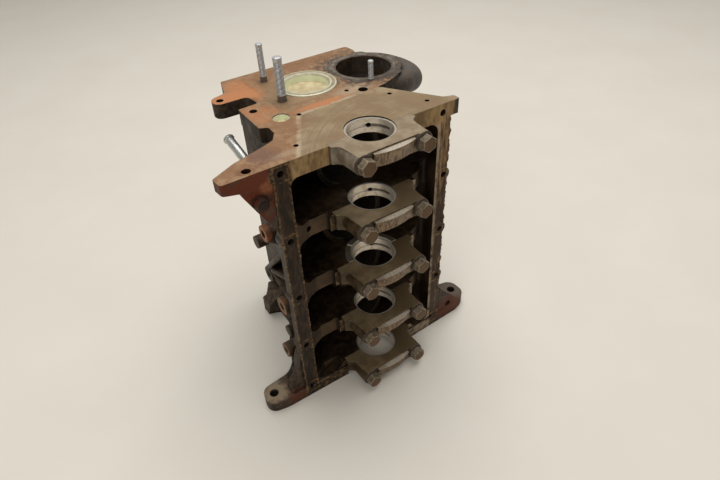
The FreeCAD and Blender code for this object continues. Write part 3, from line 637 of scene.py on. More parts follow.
# %% [markdown]
# ## The whole casting
#
# One material covers the casting, because on the real block one finish runs into the next. It could be
# split by painting faces, but then every border would be a hard line. So it is built up in layers, as the
# real surface was: skin first, then the milled faces; painted shade with some grime goes in the corners,
# and the edges are lightened partly as worn metal and partly as a painted highlight.

# %% Casting finish
# how squarely a face must look along an axis, or against it, to count as a milled one
SQUARE_ON, SQUARE_AGAINST = (0.90, 0.97), (-0.90, -0.97)
AT_FRONT, AT_DECK = (FRONT / MM - 0.25, 0.15), (DECK / MM - 0.25, 0.15)
AT_RAIL = (RAIL / MM + 0.55, 0.25)
WEB_LEVEL, WEB_REACH = (FRONT / MM - 23.5, 1.5), (103.5, 2.5)
ARM_LEVEL, ARM_REACH = (12, 1), (108, 4)
CAP_SEAT, CAP_SEAT_TOP = (57.75, 0.25), (0.5, 0.5)


def cast_iron():
    """The whole finish of the casting."""
    on = Surface("block_iron")
    fine = grain(on.place, 1.3, 2.0)
    mid = grain(on.place, 9.0, 4.0, 0.6)
    broad = grain(on.place, 42.0, 3.0, 0.6)
    wiped = grain(stretched(on.place, (1.0, 1.0, 0.3)), 6.0, 4.0, 0.65)
    ragged = (mid - 0.5) * 2.0
    soft = on.rounded(1.4)
    deep = on.crevice(14.0)

    # skin, then the front face and the pan rails
    on_front = past(on.z, *AT_FRONT) * ramp(on.nz, *SQUARE_ON)
    tint = blend(on_front, cast_skin(on, ragged, mid, broad), front_face(on, ragged, mid, fine))
    facing_pan = ramp(on.ny, *SQUARE_AGAINST)
    on_rail = facing_pan * before(on.y, *AT_RAIL)
    on_rail = on_rail * past(on.x, *RAIL_OUTER_LEFT) * before(on.x, *RAIL_OUTER_RIGHT)
    tint = blend(on_rail, tint, rail_face(on, ragged, mid, wiped))

    # the front flange's edge between the rails is scraped olive
    web = on_rail * past(on.z, *WEB_LEVEL) * before(abs(on.x), *WEB_REACH)
    scraped = blend(ramp((wiped + broad) * 0.5, 0.40, 0.60), (0.170, 0.100, 0.042), OLIVE)
    tint = blend(web, tint, scraped)

    # the arms that carry the bearings are oily brown, and the side seats of the caps are olive
    arm = facing_pan * before(on.y, *ARM_LEVEL) * (1.0 - on_rail) * before(abs(on.x), *ARM_REACH)
    arm_brown = blend(ramp(broad, 0.35, 0.65), (0.040, 0.021, 0.009), (0.105, 0.062, 0.028))
    tint = blend(arm * 0.85, tint, arm_brown)
    seat = ramp(abs(on.nx), *SQUARE_ON) * before(abs(on.x), *CAP_SEAT) * before(on.y, *CAP_SEAT_TOP)
    tint = blend(seat, tint, OLIVE)

    # the head deck and the bores
    on_deck = past(on.y, *AT_DECK) * ramp(on.ny, *SQUARE_ON)
    deck = blend(ramp(mid, 0.35, 0.65), (0.20, 0.17, 0.14), (0.32, 0.28, 0.22))
    tint = blend(on_deck, tint, deck)
    bore = bore_wall(on)
    tint = blend(bore, tint, bore_colour(on))

    # painted shade with some grime in the corners; edges lightened partly as worn metal and partly as a
    # painted highlight
    tint = blend(deep * 0.75, tint, SHADE_AND_GRIME)
    wear_and_highlight = edge_mask(soft, on.facing) * ramp(mid, 0.30, 0.62)
    tint = blend(wear_and_highlight * (1.0 - deep) * 0.40, tint, IRON_EDGE)

    # machined faces are nearly smooth, the rest keeps the sand's texture
    machined = larger(larger(on_front, on_rail), larger(on_deck, bore))
    relief = (fine * 0.6 + mid * 1.4) * spread(machined, 1.0, 0.12)
    gloss = spread(ramp(broad, 0.25, 0.75), 0.40, 0.66) - bore * 0.20
    return on.feed(Base_Color=tint, Roughness=gloss, Metallic=bore * 0.5, Specular_IOR_Level=0.22,
                   Normal=bumps(soft, relief, 0.55))


FINISHES = {"block_iron": cast_iron()}
print("casting:", len(FINISHES["block_iron"].node_tree.nodes), "nodes")

# %% [markdown]
# ## Bearing caps
#
# The caps were milled flat top and bottom and left as cast on their sides. The raised arched lip has
# been filed bright, and its middle carries a painted highlight. The faces are olive-tan with oil film; on
# the caps below the first the faces and sides are darker, partly with oil and partly as painted shade from
# the caps above, while the front cap's sides are lightened by a painted highlight. Painted shade with some
# grime sits where the bolt bosses meet the body. Five materials would be five copies, so one serves all:
# the height of a point within its own cap is its distance below the front face, wrapped at the bearing
# pitch.

# %% Cap finish
# keeps a cap's top face from wrapping round to the cap above
GUARD = 0.2 * MM
LIP_DROP = (1.6, 0.2)
LIP_MIDDLE, LIP_END = 3 * MM, (19.5, 7.5)
ARCH_TOP, ARCH_SIDE = (BOLT_HEAD_END / MM + 14.0, 0.5), (28.5, 1.5)
# where the lower caps start to be darkened, partly by oil and partly as painted shade from the caps above,
# and how a painted sheen lightens their left
FACE_OIL_AND_SHADE, SIDE_OIL_AND_SHADE = (FRONT / MM - 60, 50), (FRONT / MM - 50, 35)
OIL_AND_SHADE_DEEPEN = (3, 31)
OIL_AND_SHADE_LIGHT_AT, OIL_AND_SHADE_FULL_AT = -30 * MM, 20 * MM


def below_own_top(on):
    """Distance below the top of a point's own cap, plus the guard."""
    return (FRONT - on.z + GUARD) % PITCH


def cap_face(on, mid, scratches):
    """Milled tan at the front cap; lower caps darker, partly with oil and partly as painted shade, and a
    painted sheen leaves their left lighter than their right.
    """
    face = blend(ramp(mid, 0.30, 0.68), (0.250, 0.182, 0.110), (0.350, 0.268, 0.175))
    face = blend(ramp(scratches, 0.55, 0.75) * 0.35, face, PALE)
    # oil and painted shade on the lower caps, darker still to the right
    oily = blend(ramp(mid, 0.25, 0.75), (0.125, 0.082, 0.034), (0.210, 0.148, 0.072))
    oily = blend(past(on.x, *OIL_AND_SHADE_DEEPEN), oily, (0.105, 0.070, 0.032))
    # painted shade and oil below the front cap, less at the left as a painted sheen
    below = before(on.z, *FACE_OIL_AND_SHADE)
    return blend(below * spread(on.x, 0.75, 1.0, OIL_AND_SHADE_LIGHT_AT, OIL_AND_SHADE_FULL_AT), face, oily)


def cap_side(on, mid):
    """As-cast sides: grey-tan at the front cap, partly a painted highlight; oil-brown on the others, partly
    oil and partly painted shade.
    """
    # the front cap's lighter grey-tan is partly a painted highlight, the others' darkness partly painted
    # shade
    dry = blend(ramp(mid, 0.25, 0.75), (0.110, 0.083, 0.054), (0.270, 0.222, 0.160))
    oily = blend(ramp(mid, 0.25, 0.75), (0.036, 0.021, 0.009), (0.098, 0.064, 0.032))
    return blend(before(on.z, *SIDE_OIL_AND_SHADE), dry, oily)


def filed_lip(on, fine):
    """Bright filed grey, lightest in the middle as a painted highlight and dulling towards the lip's two
    ends.
    """
    filed = blend(ramp(fine, 0.38, 0.62), (0.360, 0.300, 0.225), (0.680, 0.595, 0.470))
    # painted highlight: the middle of the lip is lightest, the ends darker
    ends = past(abs(on.x - LIP_MIDDLE), *LIP_END)
    return blend(ends * 0.7, filed, (0.230, 0.180, 0.120))


def cap_iron():
    """Milled faces, filed lip, cast sides darkened by oil and by painted shade."""
    on = Surface("cap_iron")
    fine = grain(on.place, 1.2, 2.0)
    mid = grain(on.place, 14.0, 3.0, 0.5)
    scratches = grain(stretched(on.place, (0.12, 1.0, 1.0)), 1.6, 3.0)
    soft = on.rounded(0.9)
    up = ramp(on.nz, 0.85, 0.96)
    tint = blend(up, cap_side(on, mid), cap_face(on, mid, scratches))
    lip = up * past(below_own_top(on), *LIP_DROP)
    tint = blend(lip * 0.95, tint, filed_lip(on, fine))

    # the front of the arch is rough, in streaks along Z
    arch = before(on.y, *ARCH_TOP) * ramp(on.nz, 0.6, 0.3) * before(abs(on.x), *ARCH_SIDE)
    drawn = grain(stretched(on.place, (1.0, 1.0, 0.15)), 2.2, 3.0)
    torn = blend(ramp(drawn, 0.40, 0.62), (0.090, 0.050, 0.022), (0.270, 0.180, 0.098))
    tint = blend(arch * 0.9, tint, torn)

    # painted shade, with some grime, in the hollows
    tint = blend(on.crevice(8.0) * 0.7, tint, SHADE_AND_GRIME)
    # edges lightened partly by wear and partly by a painted highlight
    wear_and_highlight = edge_mask(soft, on.facing) * ramp(grain(on.place, 5.0, 3.0), 0.35, 0.6)
    tint = blend(wear_and_highlight * 0.45, tint, (0.40, 0.31, 0.20))
    relief = (fine * 0.5 + mid) * spread(up, 1.0, 0.12)
    return on.feed(Base_Color=tint, Metallic=0.1, Roughness=spread(mid, 0.34, 0.55),
                   Specular_IOR_Level=0.28, Normal=bumps(soft, relief, 0.45))


FINISHES["cap_iron"] = cap_iron()
print("caps:", len(FINISHES["cap_iron"].node_tree.nodes), "nodes")

# %% [markdown]
# ## Bearing shells and thrust washers
#
# A shell is a thin steel half ring lined with soft grey metal. The crank has polished it along its
# travel, so its fine lines run round the bore: noise stretched long in X and Y and tight along Z. Old
# oil has set to dark varnish in the right half of each oil groove. The thrust washers share the finish,
# but they lie further out than a shell and are brown with oil.

# %% Shell finish
HOUSING_EDGE = (29.5, 0.1)
GROOVE_EDGE = (2.0, 0.1)
VARNISH_START, SPLIT_LINE = (10, 4), (0.0, 2.0)


def bearing_metal():
    """Satin lining metal with running lines, varnish, and bright edges that are partly wear and partly a
    painted highlight.
    """
    on = Surface("bearing_metal")
    lines = grain(stretched(on.place, (0.05, 0.05, 1.0)), 0.7, 2.0)
    stain = grain(on.place, 11.0, 3.0)
    tint = blend(ramp(lines, 0.25, 0.75), (0.62, 0.55, 0.45), (0.80, 0.72, 0.60))
    tint = blend(ramp(stain, 0.52, 0.66) * 0.55, tint, (0.46, 0.31, 0.17))
    end_face = ramp(abs(on.nz), 0.85, 0.97)
    washer = past(around(on.place, 0, 0), *HOUSING_EDGE)
    tint = blend(end_face * washer * 0.85, tint, (0.105, 0.080, 0.054))
    tint = blend(end_face * (1.0 - washer) * 0.8, tint, (0.50, 0.46, 0.40))
    from_groove = abs(below_own_top(on) - (BEARING_DROP + GUARD))
    varnish = before(from_groove, *GROOVE_EDGE) * past(on.x, *VARNISH_START) * past(on.y, *SPLIT_LINE)
    tint = blend(varnish * 0.85, tint, (0.085, 0.060, 0.038))
    soft = on.rounded(0.4)
    # edges lightened partly by wear and partly by a painted highlight
    tint = blend(edge_mask(soft, on.facing) * 0.9, tint, (0.95, 0.92, 0.86))
    return on.feed(Base_Color=tint, Metallic=0.55, Roughness=spread(stain, 0.28, 0.50),
                   Normal=bumps(soft, lines, 0.05))


FINISHES["bearing_metal"] = bearing_metal()
print("shells: groove", BEARING_DROP, "m below each cap's top")

# %% [markdown]
# ## Core plugs
#
# Cup plugs are pressed from sheet and plated: pale yellow-green passivated zinc, with brown oil varnish
# that has run over the floor of the cup. Thin bright rings along the bends of the large plug's rim are
# painted highlights, and the edges are lightened partly by wear and partly by a painted highlight. The
# plugs in the side walls have the same plating under dirt, so the one finish darkens away from the front
# face.

# %% Plug finish
# radii of the painted highlights along the bends of the large plug's rim
HIGHLIGHT_RINGS, RING_EDGE = (31.6 * MM, 37.9 * MM), (0.9, 0.4)
RIM_LEVEL = (FRONT / MM - 0.75, 0.75)
SIDE_PLUGS = (FRONT / MM - 50, 10)


def plug_zinc():
    """Yellow-green passivated zinc with painted highlight rings on the rim and oil varnish."""
    on = Surface("plug_zinc")
    mid = grain(on.place, 8.0, 4.0, 0.6)
    broad = grain(on.place, 26.0, 3.0)
    cup_floor = blend(ramp(mid, 0.3, 0.7), (0.60, 0.48, 0.27), (0.76, 0.66, 0.42))
    wall = blend(mid, (0.78, 0.86, 0.62), (0.94, 0.98, 0.76))
    tint = blend(ramp(on.nz, 0.8, 0.4), cup_floor, wall)
    rim = past(on.z, *RIM_LEVEL) * ramp(on.nz, 0.5, 0.8)
    rim_tint = blend(ramp(mid, 0.35, 0.65), (0.36, 0.31, 0.19), (0.50, 0.44, 0.28))
    tint = blend(rim, tint, rim_tint)
    # painted highlights: thin bright rings where the rim bends
    out = around(on.place, PLUG_AXIS.x, PLUG_AXIS.y)
    for radius in HIGHLIGHT_RINGS:
        ring = before(abs(out - radius), *RING_EDGE)
        tint = blend(ring * rim * 0.8, tint, (0.82, 0.80, 0.62))
    tint = blend(ramp(broad, 0.5, 0.7) * 0.35, tint, (0.55, 0.38, 0.20))
    dirty = blend(ramp(mid, 0.35, 0.62), (0.110, 0.085, 0.050), (0.280, 0.250, 0.150))
    tint = blend(before(on.z, *SIDE_PLUGS), tint, dirty)
    soft = on.rounded(0.5)
    # edges lightened partly by wear and partly by a painted highlight
    tint = blend(edge_mask(soft, on.facing), tint, (0.86, 0.85, 0.72))
    return on.feed(Base_Color=tint, Metallic=0.35, Roughness=spread(mid, 0.30, 0.52),
                   Normal=bumps(soft, mid, 0.12))


FINISHES["plug_zinc"] = plug_zinc()
print("plugs: axis of the large one", tuple(round(v, 4) for v in PLUG_AXIS))

# %% [markdown]
# ## Bolts, studs and tube
#
# The cap bolts are phosphated steel gone brown with oil. The corners of their heads are lightened partly
# by wear and partly by a painted highlight, and their flanges and hollows are darkened, partly with oil
# and grime and partly as painted shade.
# Studs are zinc plated with dull threads, and the dipstick guide is a bright drawn tube. A thread's dirt
# can't be placed by position, so the studs' meshes carry it as two attributes of their own.

# %% Steel finishes
FLANGE_START = (BOLT_HEAD_END / MM + 8.8, 0.6)


def bolt_steel():
    """Brown phosphated steel; its corners are lightened partly by wear and partly by a painted highlight.
    """
    on = Surface("bolt_steel")
    mid = grain(on.place, 5.0, 3.0, 0.5)
    broad = grain(on.place, 14.0, 3.0)
    tint = blend(ramp(mid, 0.2, 0.8), (0.100, 0.070, 0.040), (0.235, 0.185, 0.125))
    crown = ramp(on.ny, -0.85, -0.97)
    tint = blend(crown * 0.95, tint, (0.105, 0.054, 0.020))
    # the flange is darkened, partly as oily steel and partly as painted shade under the head
    flange = past(on.y, *FLANGE_START)
    tint = blend(flange * 0.85, tint, (0.034, 0.023, 0.013))
    tint = blend(ramp(broad, 0.5, 0.68) * 0.35, tint, (0.050, 0.030, 0.015))
    soft = on.rounded(0.7)
    # edges lightened partly by wear and partly by a painted highlight
    tint = blend(edge_mask(soft, on.facing, 0.015, 0.09) * 0.95, tint, (0.74, 0.65, 0.52))
    # painted shade, with some grime, in the hollows between head and flange
    tint = blend(on.crevice(6.0) * 0.85, tint, SHADE_AND_GRIME)
    return on.feed(Base_Color=tint, Metallic=0.0, Roughness=spread(mid, 0.36, 0.55),
                   Specular_IOR_Level=0.22, Normal=bumps(soft, mid, 0.06))


def stud_zinc():
    """Blue-grey zinc plate, dark where the groove and collar attributes say."""
    on = Surface("stud_zinc")
    mid = grain(on.place, 2.5, 3.0)
    tint = blend(ramp(mid, 0.3, 0.7), (0.46, 0.47, 0.47), (0.66, 0.67, 0.66))
    tint = blend(on.attribute("groove") * 0.60, tint, (0.24, 0.245, 0.25))
    tint = blend(on.attribute("collar"), tint, (0.17, 0.145, 0.12))
    return on.feed(Base_Color=tint, Metallic=0.45, Roughness=0.42, Normal=bumps(on.facing, mid, 0.06))


def tube_steel():
    """Bright drawn tube with faint long scratches and a rusty rim."""
    on = Surface("tube_steel")
    mid = grain(on.place, 6.0, 3.0)
    fine = grain(stretched(on.place, (1.0, 0.1, 0.25)), 1.5, 2.0)
    tint = blend(ramp(fine, 0.35, 0.65), (0.46, 0.47, 0.44), (0.66, 0.67, 0.62))
    tint = blend(ramp(mid, 0.58, 0.72) * 0.5, tint, (0.40, 0.36, 0.28))
    soft = on.rounded(0.5)
    tint = blend(edge_mask(soft, on.facing) * 0.6, tint, (0.30, 0.20, 0.13))
    return on.feed(Base_Color=tint, Metallic=0.7, Roughness=0.34, Normal=bumps(soft, fine, 0.04))


FINISHES["bolt_steel"] = bolt_steel()
FINISHES["stud_zinc"] = stud_zinc()
FINISHES["tube_steel"] = tube_steel()
print("bolt flanges start at y", round(FLANGE_START[0], 2), "mm")

# %% [markdown]
# ## Gasket and sealant
#
# The pump's gasket is dry grey-brown fibre, nearly black where it has torn thin and in the grooves beside
# its beads, which its mesh says in an attribute. It is darker towards the crank. The sealant left on the
# rails is rubbery and dark brown, with dusty tan patches.

# %% Soft finishes
GASKET_DARK_BELOW = (118, 10)


def gasket_fibre():
    """Old gasket: dry grey-brown fibre, darker where the thin attribute says it is torn."""
    on = Surface("gasket_fibre")
    fine = grain(on.place, 1.4, 3.0, 0.65)
    mid = grain(on.place, 8.0, 4.0, 0.6)
    tint = blend(ramp(mid, 0.3, 0.7), (0.095, 0.074, 0.054), (0.235, 0.190, 0.142))
    tint = blend(on.attribute("thin"), tint, (0.030, 0.022, 0.016))
    # darker towards the crank
    tint = blend(before(on.y, *GASKET_DARK_BELOW) * 0.6, tint, (0.050, 0.036, 0.024))
    return on.feed(Base_Color=tint, Roughness=0.78, Normal=bumps(on.facing, fine + mid, 0.25))


def sealant_rubber():
    """Rubbery dark brown sealant with dusty tan patches."""
    on = Surface("sealant")
    mid = grain(on.place, 5.0, 3.0)
    tint = blend(ramp(mid, 0.35, 0.62), (0.040, 0.021, 0.009), (0.200, 0.122, 0.055))
    return on.feed(Base_Color=tint, Roughness=0.55, Specular_IOR_Level=0.3,
                   Normal=bumps(on.facing, mid, 0.4))


FINISHES["gasket_fibre"] = gasket_fibre()
SEALANT = sealant_rubber()
for part in frame["record"]["subparts"]:
    for slot in nodes[part["node"]].material_slots:
        slot.material = FINISHES[part["material_slot"]]
print(len(FINISHES), "finishes on", len(nodes), "nodes")

# %% [markdown]
# ## Meshes from formulas
#
# New pieces are grids of points computed as whole arrays. A grid has rows and columns; its last column
# joins its first, and pole points close its two ends. Pieces could be built with modelling tools
# instead, but a formula says exactly what the shape is, and gives the same mesh every time.

# %% Grid to mesh
SHARP_ANGLE = math.radians(35)


def grid_piece(name, points, slot_name, replaced=None, poles=None, values=None, finish=None):
    """A closed ring grid: points is rows x columns x 3, joined round its columns.

    Face (i, j) joins corners (i, j), (i, j+1), (i+1, j+1), (i+1, j), with j+1 wrapped to the first
    column. Each pole is one more point, joined to the whole first or last row by triangles.
    """
    rows, columns = points.shape[:2]
    index = np.arange(rows * columns).reshape(rows, columns)
    following = np.roll(index, -1, axis=1)
    quads = np.stack([index[:-1], following[:-1], following[1:], index[1:]], axis=-1).reshape(-1, 4)
    corners = points.reshape(-1, 3)
    faces = quads.tolist()
    if poles is not None:
        first, last = len(corners), len(corners) + 1
        corners = np.vstack([corners, poles])
        faces += np.stack([np.full(columns, first), following[0], index[0]], axis=-1).tolist()
        faces += np.stack([np.full(columns, last), index[-1], following[-1]], axis=-1).tolist()
    mesh = bpy.data.meshes.new(name)
    mesh.from_pydata(corners.tolist(), [], faces)
    for key, data in (values or {}).items():
        layer = mesh.attributes.new(key, "FLOAT", "POINT")
        full = np.zeros(len(corners), np.float32)
        full[:rows * columns] = np.broadcast_to(data, (rows, columns)).ravel()
        layer.data.foreach_set("value", full)
    mesh.shade_smooth()
    mesh.set_sharp_from_angle(angle=SHARP_ANGLE)
    mesh.materials.append(finish or FINISHES[slot_name])
    made = bpy.data.objects.new(name, mesh)
    scene.collection.objects.link(made)
    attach(made, "root")
    if replaced:
        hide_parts(replaced)
    print(f"{name}: {len(faces)} faces")


# %% [markdown]
# ## Studs
#
# Each stud is a rod along Z whose radius is a function of angle and height: a thread is the radius
# dipping in a triangle wave that climbs one pitch per turn. It could be cut by a swept tool, but the
# formula gives clean rows of points. The thread stops below a plain end and above a plain base collar,
# as on the real studs.

# %% Threaded studs
STUD_COLUMNS, STUD_ROWS = 48, 360
RUN_OUT = 0.8 * MM
CREST_LOSS = 0.25 * MM
UNDERCUT, UNDERCUT_HALF = 0.35 * MM, 0.5 * MM
TIP_ROUND, TIP_SHARE = 1.6 * MM, 0.55
COLLAR_FADE = 0.6 * MM
DIRT_RISE, DIRT_BANDS = 6.5 * MM, 3


def triangle(turns):
    """Triangle wave: 1 at whole turns, 0 half way between."""
    return np.abs((turns % 1.0) * 2 - 1)


def threaded_stud(node, pitch, depth, base, end):
    """Radius = rod - depth x |triangle wave of (height / pitch - angle / turn)|, between plain ends.

    The plain base is measured from the front face and the plain end from the stud's top. A narrow
    undercut marks where the end starts, and the tip narrows along a quarter circle.
    """
    low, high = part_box(node)
    centre = middle(node)
    rod = (high.x - low.x) / 2
    angle = np.linspace(0, TURN, STUD_COLUMNS, endpoint=False)[None, :]
    height = np.linspace(low.z, high.z, STUD_ROWS)[:, None]
    above = height - FRONT
    under_top = high.z - height
    wave = triangle(height / pitch - angle / TURN)
    threaded = np.clip((above - base) / RUN_OUT, 0, 1) * np.clip((under_top - end) / RUN_OUT, 0, 1)
    r = rod - CREST_LOSS * threaded - depth * wave * threaded
    r = r - UNDERCUT * np.exp(-((under_top - end) / UNDERCUT_HALF) ** 2)
    dome = np.sqrt(np.clip(1 - np.clip(1 - under_top / TIP_ROUND, 0, 1) ** 2, 0.0, 1))
    r = r * (TIP_SHARE + (1 - TIP_SHARE) * dome)
    points = np.stack([centre.x + r * np.cos(angle), centre.y + r * np.sin(angle),
                       np.broadcast_to(height, r.shape)], axis=-1)
    # dirt lies in steep bands that wind round together
    band = triangle(above / DIRT_RISE - DIRT_BANDS * angle / TURN)
    dirt = 0.85 * np.clip((0.5 - band) / 0.4, 0, 1) * threaded
    groove = np.clip(0.35 * wave * threaded + 0.8 * dirt, 0, 1)
    collar = np.clip((base - above) / COLLAR_FADE, 0, 1)
    poles = [(centre.x, centre.y, low.z), (centre.x, centre.y, high.z)]
    grid_piece(node + "_thread", points, "stud_zinc", node, poles, {"groove": groove, "collar": collar})


# pitch, depth, plain base and plain end in millimetres
for stud, sizes in (("tensioner_stud_upper", (1.5, 0.45, 7.5, 3.6)),
                    ("tensioner_stud_lower", (1.75, 0.55, 8.0, 5.0)),
                    ("water_pump_stud", (1.0, 0.35, 2.0, 3.4))):
    threaded_stud(stud, *(size * MM for size in sizes))

# %% [markdown]
# ## Cap bolts
#
# A flanged bolt head is one profile turned about its axis, except that the hexagon's flats cut it off.
# So the radius at each height is the smaller of two: the profile's own radius, and the distance to the
# hexagon's flat at that angle. The chamfered crown comes out by itself where the two cross.

# %% Flanged hexagon bolts
HEX_HALF = 8.5 * MM
HEAD_HEIGHT = 12.0
FLANGE_RADIUS = 11.6
SHANK_RADIUS = 6.0
BOLT_COLUMNS = 96
# how far each head stopped short of square when it was tightened, in radians
HEAD_TURN = {"left": 0.20, "right": -0.12}
HEAD_PROFILE = (
    # distance from the seat and radius, in millimetres
    (0.0, SHANK_RADIUS), (0.0, 11.2), (0.3, 11.55), (1.2, FLANGE_RADIUS), (1.7, 11.3), (2.4, 10.4),
    (2.9, 9.75), (3.1, 9.6), (3.6, 9.82), (6.0, 9.82), (10.9, 9.82), (11.2, 9.55), (11.6, 8.85),
    (11.9, 8.2), (HEAD_HEIGHT, 7.8), (HEAD_HEIGHT, 5.0),
)
HEX_START = 3.0


def cap_bolt(k, side):
    """Radius = profile, and from the hexagon's start min(profile, flat / cos(angle to the flat))."""
    node = f"cap_bolts_{k}"
    low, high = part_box(node)
    x = low.x + FLANGE_RADIUS * MM if side == "left" else high.x - FLANGE_RADIUS * MM
    z = middle(node).z
    seat = low.y + HEAD_HEIGHT * MM
    shank = (high.y - seat) / MM
    profile = np.array([(-shank, 4.5), (-shank + 1.5, SHANK_RADIUS), (-1.0, SHANK_RADIUS), *HEAD_PROFILE])
    out, plain = profile.T[:, :, None]
    angle = np.linspace(0, TURN, BOLT_COLUMNS, endpoint=False)[None, :]
    to_flat = (angle + TURN / 12) % (TURN / 6) - TURN / 12
    radius = np.where(out > HEX_START, np.minimum(plain * MM, HEX_HALF / np.cos(to_flat)), plain * MM)
    turned = angle + HEAD_TURN[side]
    points = np.stack([x + radius * np.cos(turned), seat - out * MM + 0 * radius,
                       z + radius * np.sin(turned)], axis=-1)
    poles = [(x, high.y, z), (x, seat - HEAD_HEIGHT * MM, z)]
    grid_piece(f"cap_bolt_{k}_{side}", points, "bolt_steel", node if side == "left" else None, poles)


for k in range(1, 6):
    for side in HEAD_TURN:
        cap_bolt(k, side)

# %% [markdown]
# ## The torn pump gasket
#
# What is left of the water pump's gasket is a flat ring, raised in a bead round its middle, with lugs
# round the bolt holes and bites torn out of its outer edge. A flat sheet cut to an outline would miss the
# bead, so its inner and outer radii are functions of the angle, and its height over the ring is another.

# %% Torn gasket
PUMP_AXIS = (94.0 * MM, 147.0 * MM)
GASKET_COLUMNS, GASKET_RINGS = 480, 41
INNER_RADIUS, OUTER_RADIUS = 38.4, 49.6
WANDER_WAVES = (5, 9, 14, 23, 37, 61)
LUG_ANGLES, LUG_HALF, LUG_REACH = (62, 118, 148, 228, 300, 2), 9.0, 4.6
# angle and half width in degrees, depth in millimetres
TEARS = ((20, 7, 4.5), (86, 12, 2.2), (200, 16, 3.0), (268, 20, 2.6), (325, 9, 3.5))
PLUG_CLEARANCE, GASKET_RIM = 40.5 * MM, 52 * MM
# place across the ring, half width and height of each bead
BEADS = ((0.36, 0.18, 0.65), (0.70, 0.05, 0.45), (0.86, 0.05, 0.40))
# place across the ring and darkness of each groove beside them
GROOVES = ((0.10, 0.75), (0.60, 0.95), (0.78, 0.45), (0.94, 0.8))
UNDERSIDE = 0.02 * MM
TORN_THIN = 0.45 * MM
FLAT_SHARE, RIM_SHARE, RIM_STEEP = 0.35, 0.15, 14


def bell(value, peak, half):
    """1 at the peak, falling off over a half width."""
    return np.exp(-((value - peak) / half) ** 2)


def gasket_radii(angle, wander):
    """Inner radius = ring + wander; outer radius = ring + wander + lugs - tears, held off the plug."""

    def sector(at, half):
        """1 at one angle in degrees, with steep sides a half width away."""
        gap = (np.degrees(angle) - at + 180) % 360 - 180
        return np.exp(-(gap / half) ** 4)

    lugs = LUG_REACH * sum(sector(at, LUG_HALF) for at in LUG_ANGLES)
    tears = sum(bite * sector(at, half) for at, half, bite in TEARS)
    outer = OUTER_RADIUS + 0.35 * wander + lugs - tears
    # the core plug's rim stands in the way on the left
    to_plug = np.hypot(PUMP_AXIS[0] + GASKET_RIM * np.cos(angle) - PLUG_AXIS.x,
                       PUMP_AXIS[1] + GASKET_RIM * np.sin(angle) - PLUG_AXIS.y)
    outer = np.where(to_plug < PLUG_CLEARANCE, outer - (PLUG_CLEARANCE - to_plug) / MM, outer)
    return (INNER_RADIUS + 0.25 * wander) * MM, outer * MM


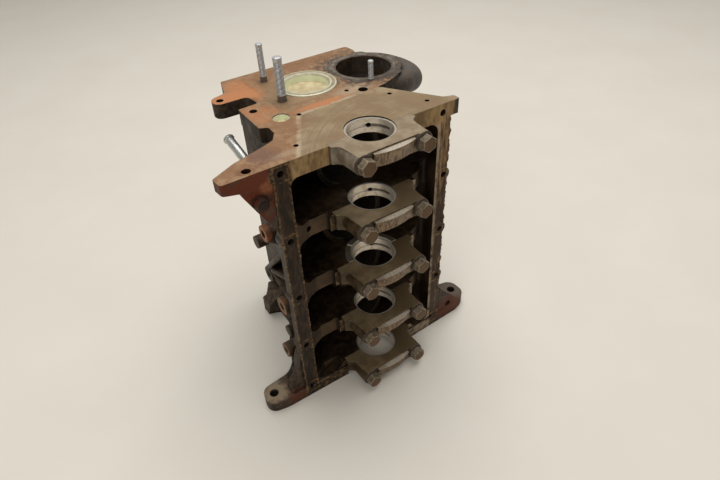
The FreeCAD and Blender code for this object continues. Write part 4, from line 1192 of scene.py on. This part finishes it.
def torn_gasket():
    """Height = beads + ripple, low at both rims; rows run over the top and back underneath."""
    angle = np.linspace(0, TURN, GASKET_COLUMNS, endpoint=False)[None, :]
    wander = sum(np.sin(angle * n + n * n) / n for n in WANDER_WAVES)
    inner, outer = gasket_radii(angle, wander)
    across = np.linspace(0, 1, GASKET_RINGS)[:, None]
    radius = inner * (1 - across) + outer * across
    beads = FLAT_SHARE + sum(rise * bell(across, at, half) for at, half, rise in BEADS)
    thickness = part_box("water_pump_gasket")[1].z - FRONT
    tall = np.clip(beads + 0.10 * wander * across, 0.1, 1.0) * thickness
    for inwards in (across, 1 - across):
        tall = tall * np.clip(inwards * RIM_STEEP, RIM_SHARE, 1)
    under = np.full_like(tall, UNDERSIDE)
    r = np.vstack([radius, radius[::-1]])
    h = np.vstack([tall, under]) + FRONT
    points = np.stack([PUMP_AXIS[0] + r * np.cos(angle), PUMP_AXIS[1] + r * np.sin(angle), h], axis=-1)
    grooves = sum(deep * bell(across + 0.02 * wander, at, 0.045) for at, deep in GROOVES)
    thin = np.clip(1 - tall / TORN_THIN, 0, 1)
    thin = np.clip(np.vstack([np.maximum(thin, grooves), np.ones_like(under)]), 0, 1)
    # the first row again closes the tube, and columns run backwards so that faces point out
    points = np.vstack([points, points[:1]])[:, ::-1]
    thin = np.vstack([thin, thin[:1]])[:, ::-1]
    grid_piece("water_pump_gasket_torn", points, "gasket_fibre", "water_pump_gasket", values={"thin": thin})


torn_gasket()

# %% [markdown]
# ## Old sealant
#
# The oil pan was glued on, and its sealant still clings along the edges of both rails. Relief in the
# rails' finish would leave their edges straight against the light, so the beads are meshes: a tube along
# the edge whose radius swells and pinches, made of several sines whose wavelengths share no common factor.

# %% Sealant beads
BEAD_COLUMNS, BEAD_ROWS = 12, 260
LUMP_WAVES = (61.0, 37.0, 23.0, 13.0, 7.1)
SWAY_WAVE = 19.0
BEAD_LEVEL = RAIL + 0.4 * MM
END_TAPER = 3 * MM


def bead(name, x, start_z, end_z, radius, swell, phase):
    """Tube along Z at the rail's edge: radius = base x (1 + swell x sum of sines), never under a fifth."""
    angle = np.linspace(0, TURN, BEAD_COLUMNS, endpoint=False)[None, :]
    z = np.linspace(start_z, end_z, BEAD_ROWS)[:, None]
    lump = sum(np.sin(z / MM / wave * TURN + phase * wave) for wave in LUMP_WAVES) / 2.2
    r = radius * np.clip(1 + swell * lump + 0.25 * np.sin(3 * angle + z / MM / 4.0), 0.2, 2.6)
    r = r * np.sqrt(np.clip(np.minimum(z - start_z, end_z - z) / END_TAPER, 0.0025, 1))
    sway = 0.5 * radius * np.sin(z / MM / SWAY_WAVE * TURN + phase)
    points = np.stack([x + sway + r * np.cos(angle), BEAD_LEVEL + 0.8 * r * np.sin(angle),
                       np.broadcast_to(z, r.shape)], axis=-1)
    poles = [(x, BEAD_LEVEL, start_z), (x, BEAD_LEVEL, end_z)]
    grid_piece(name, points, "gasket_fibre", poles=poles, finish=SEALANT)


# place along X, start and end along Z, radius; then swell and phase
bead("sealant_right_outer", 115.0 * MM, 62 * MM, 366 * MM, 1.15 * MM, 0.60, 0.3)
bead("sealant_right_inner", 99.0 * MM, 70 * MM, 300 * MM, 0.6 * MM, 0.8, 1.7)
bead("sealant_left_outer", -125.4 * MM, 40 * MM, 362 * MM, 0.65 * MM, 0.9, 2.9)
bead("sealant_left_inner", -106.8 * MM, 120 * MM, 300 * MM, 0.45 * MM, 0.9, 4.1)
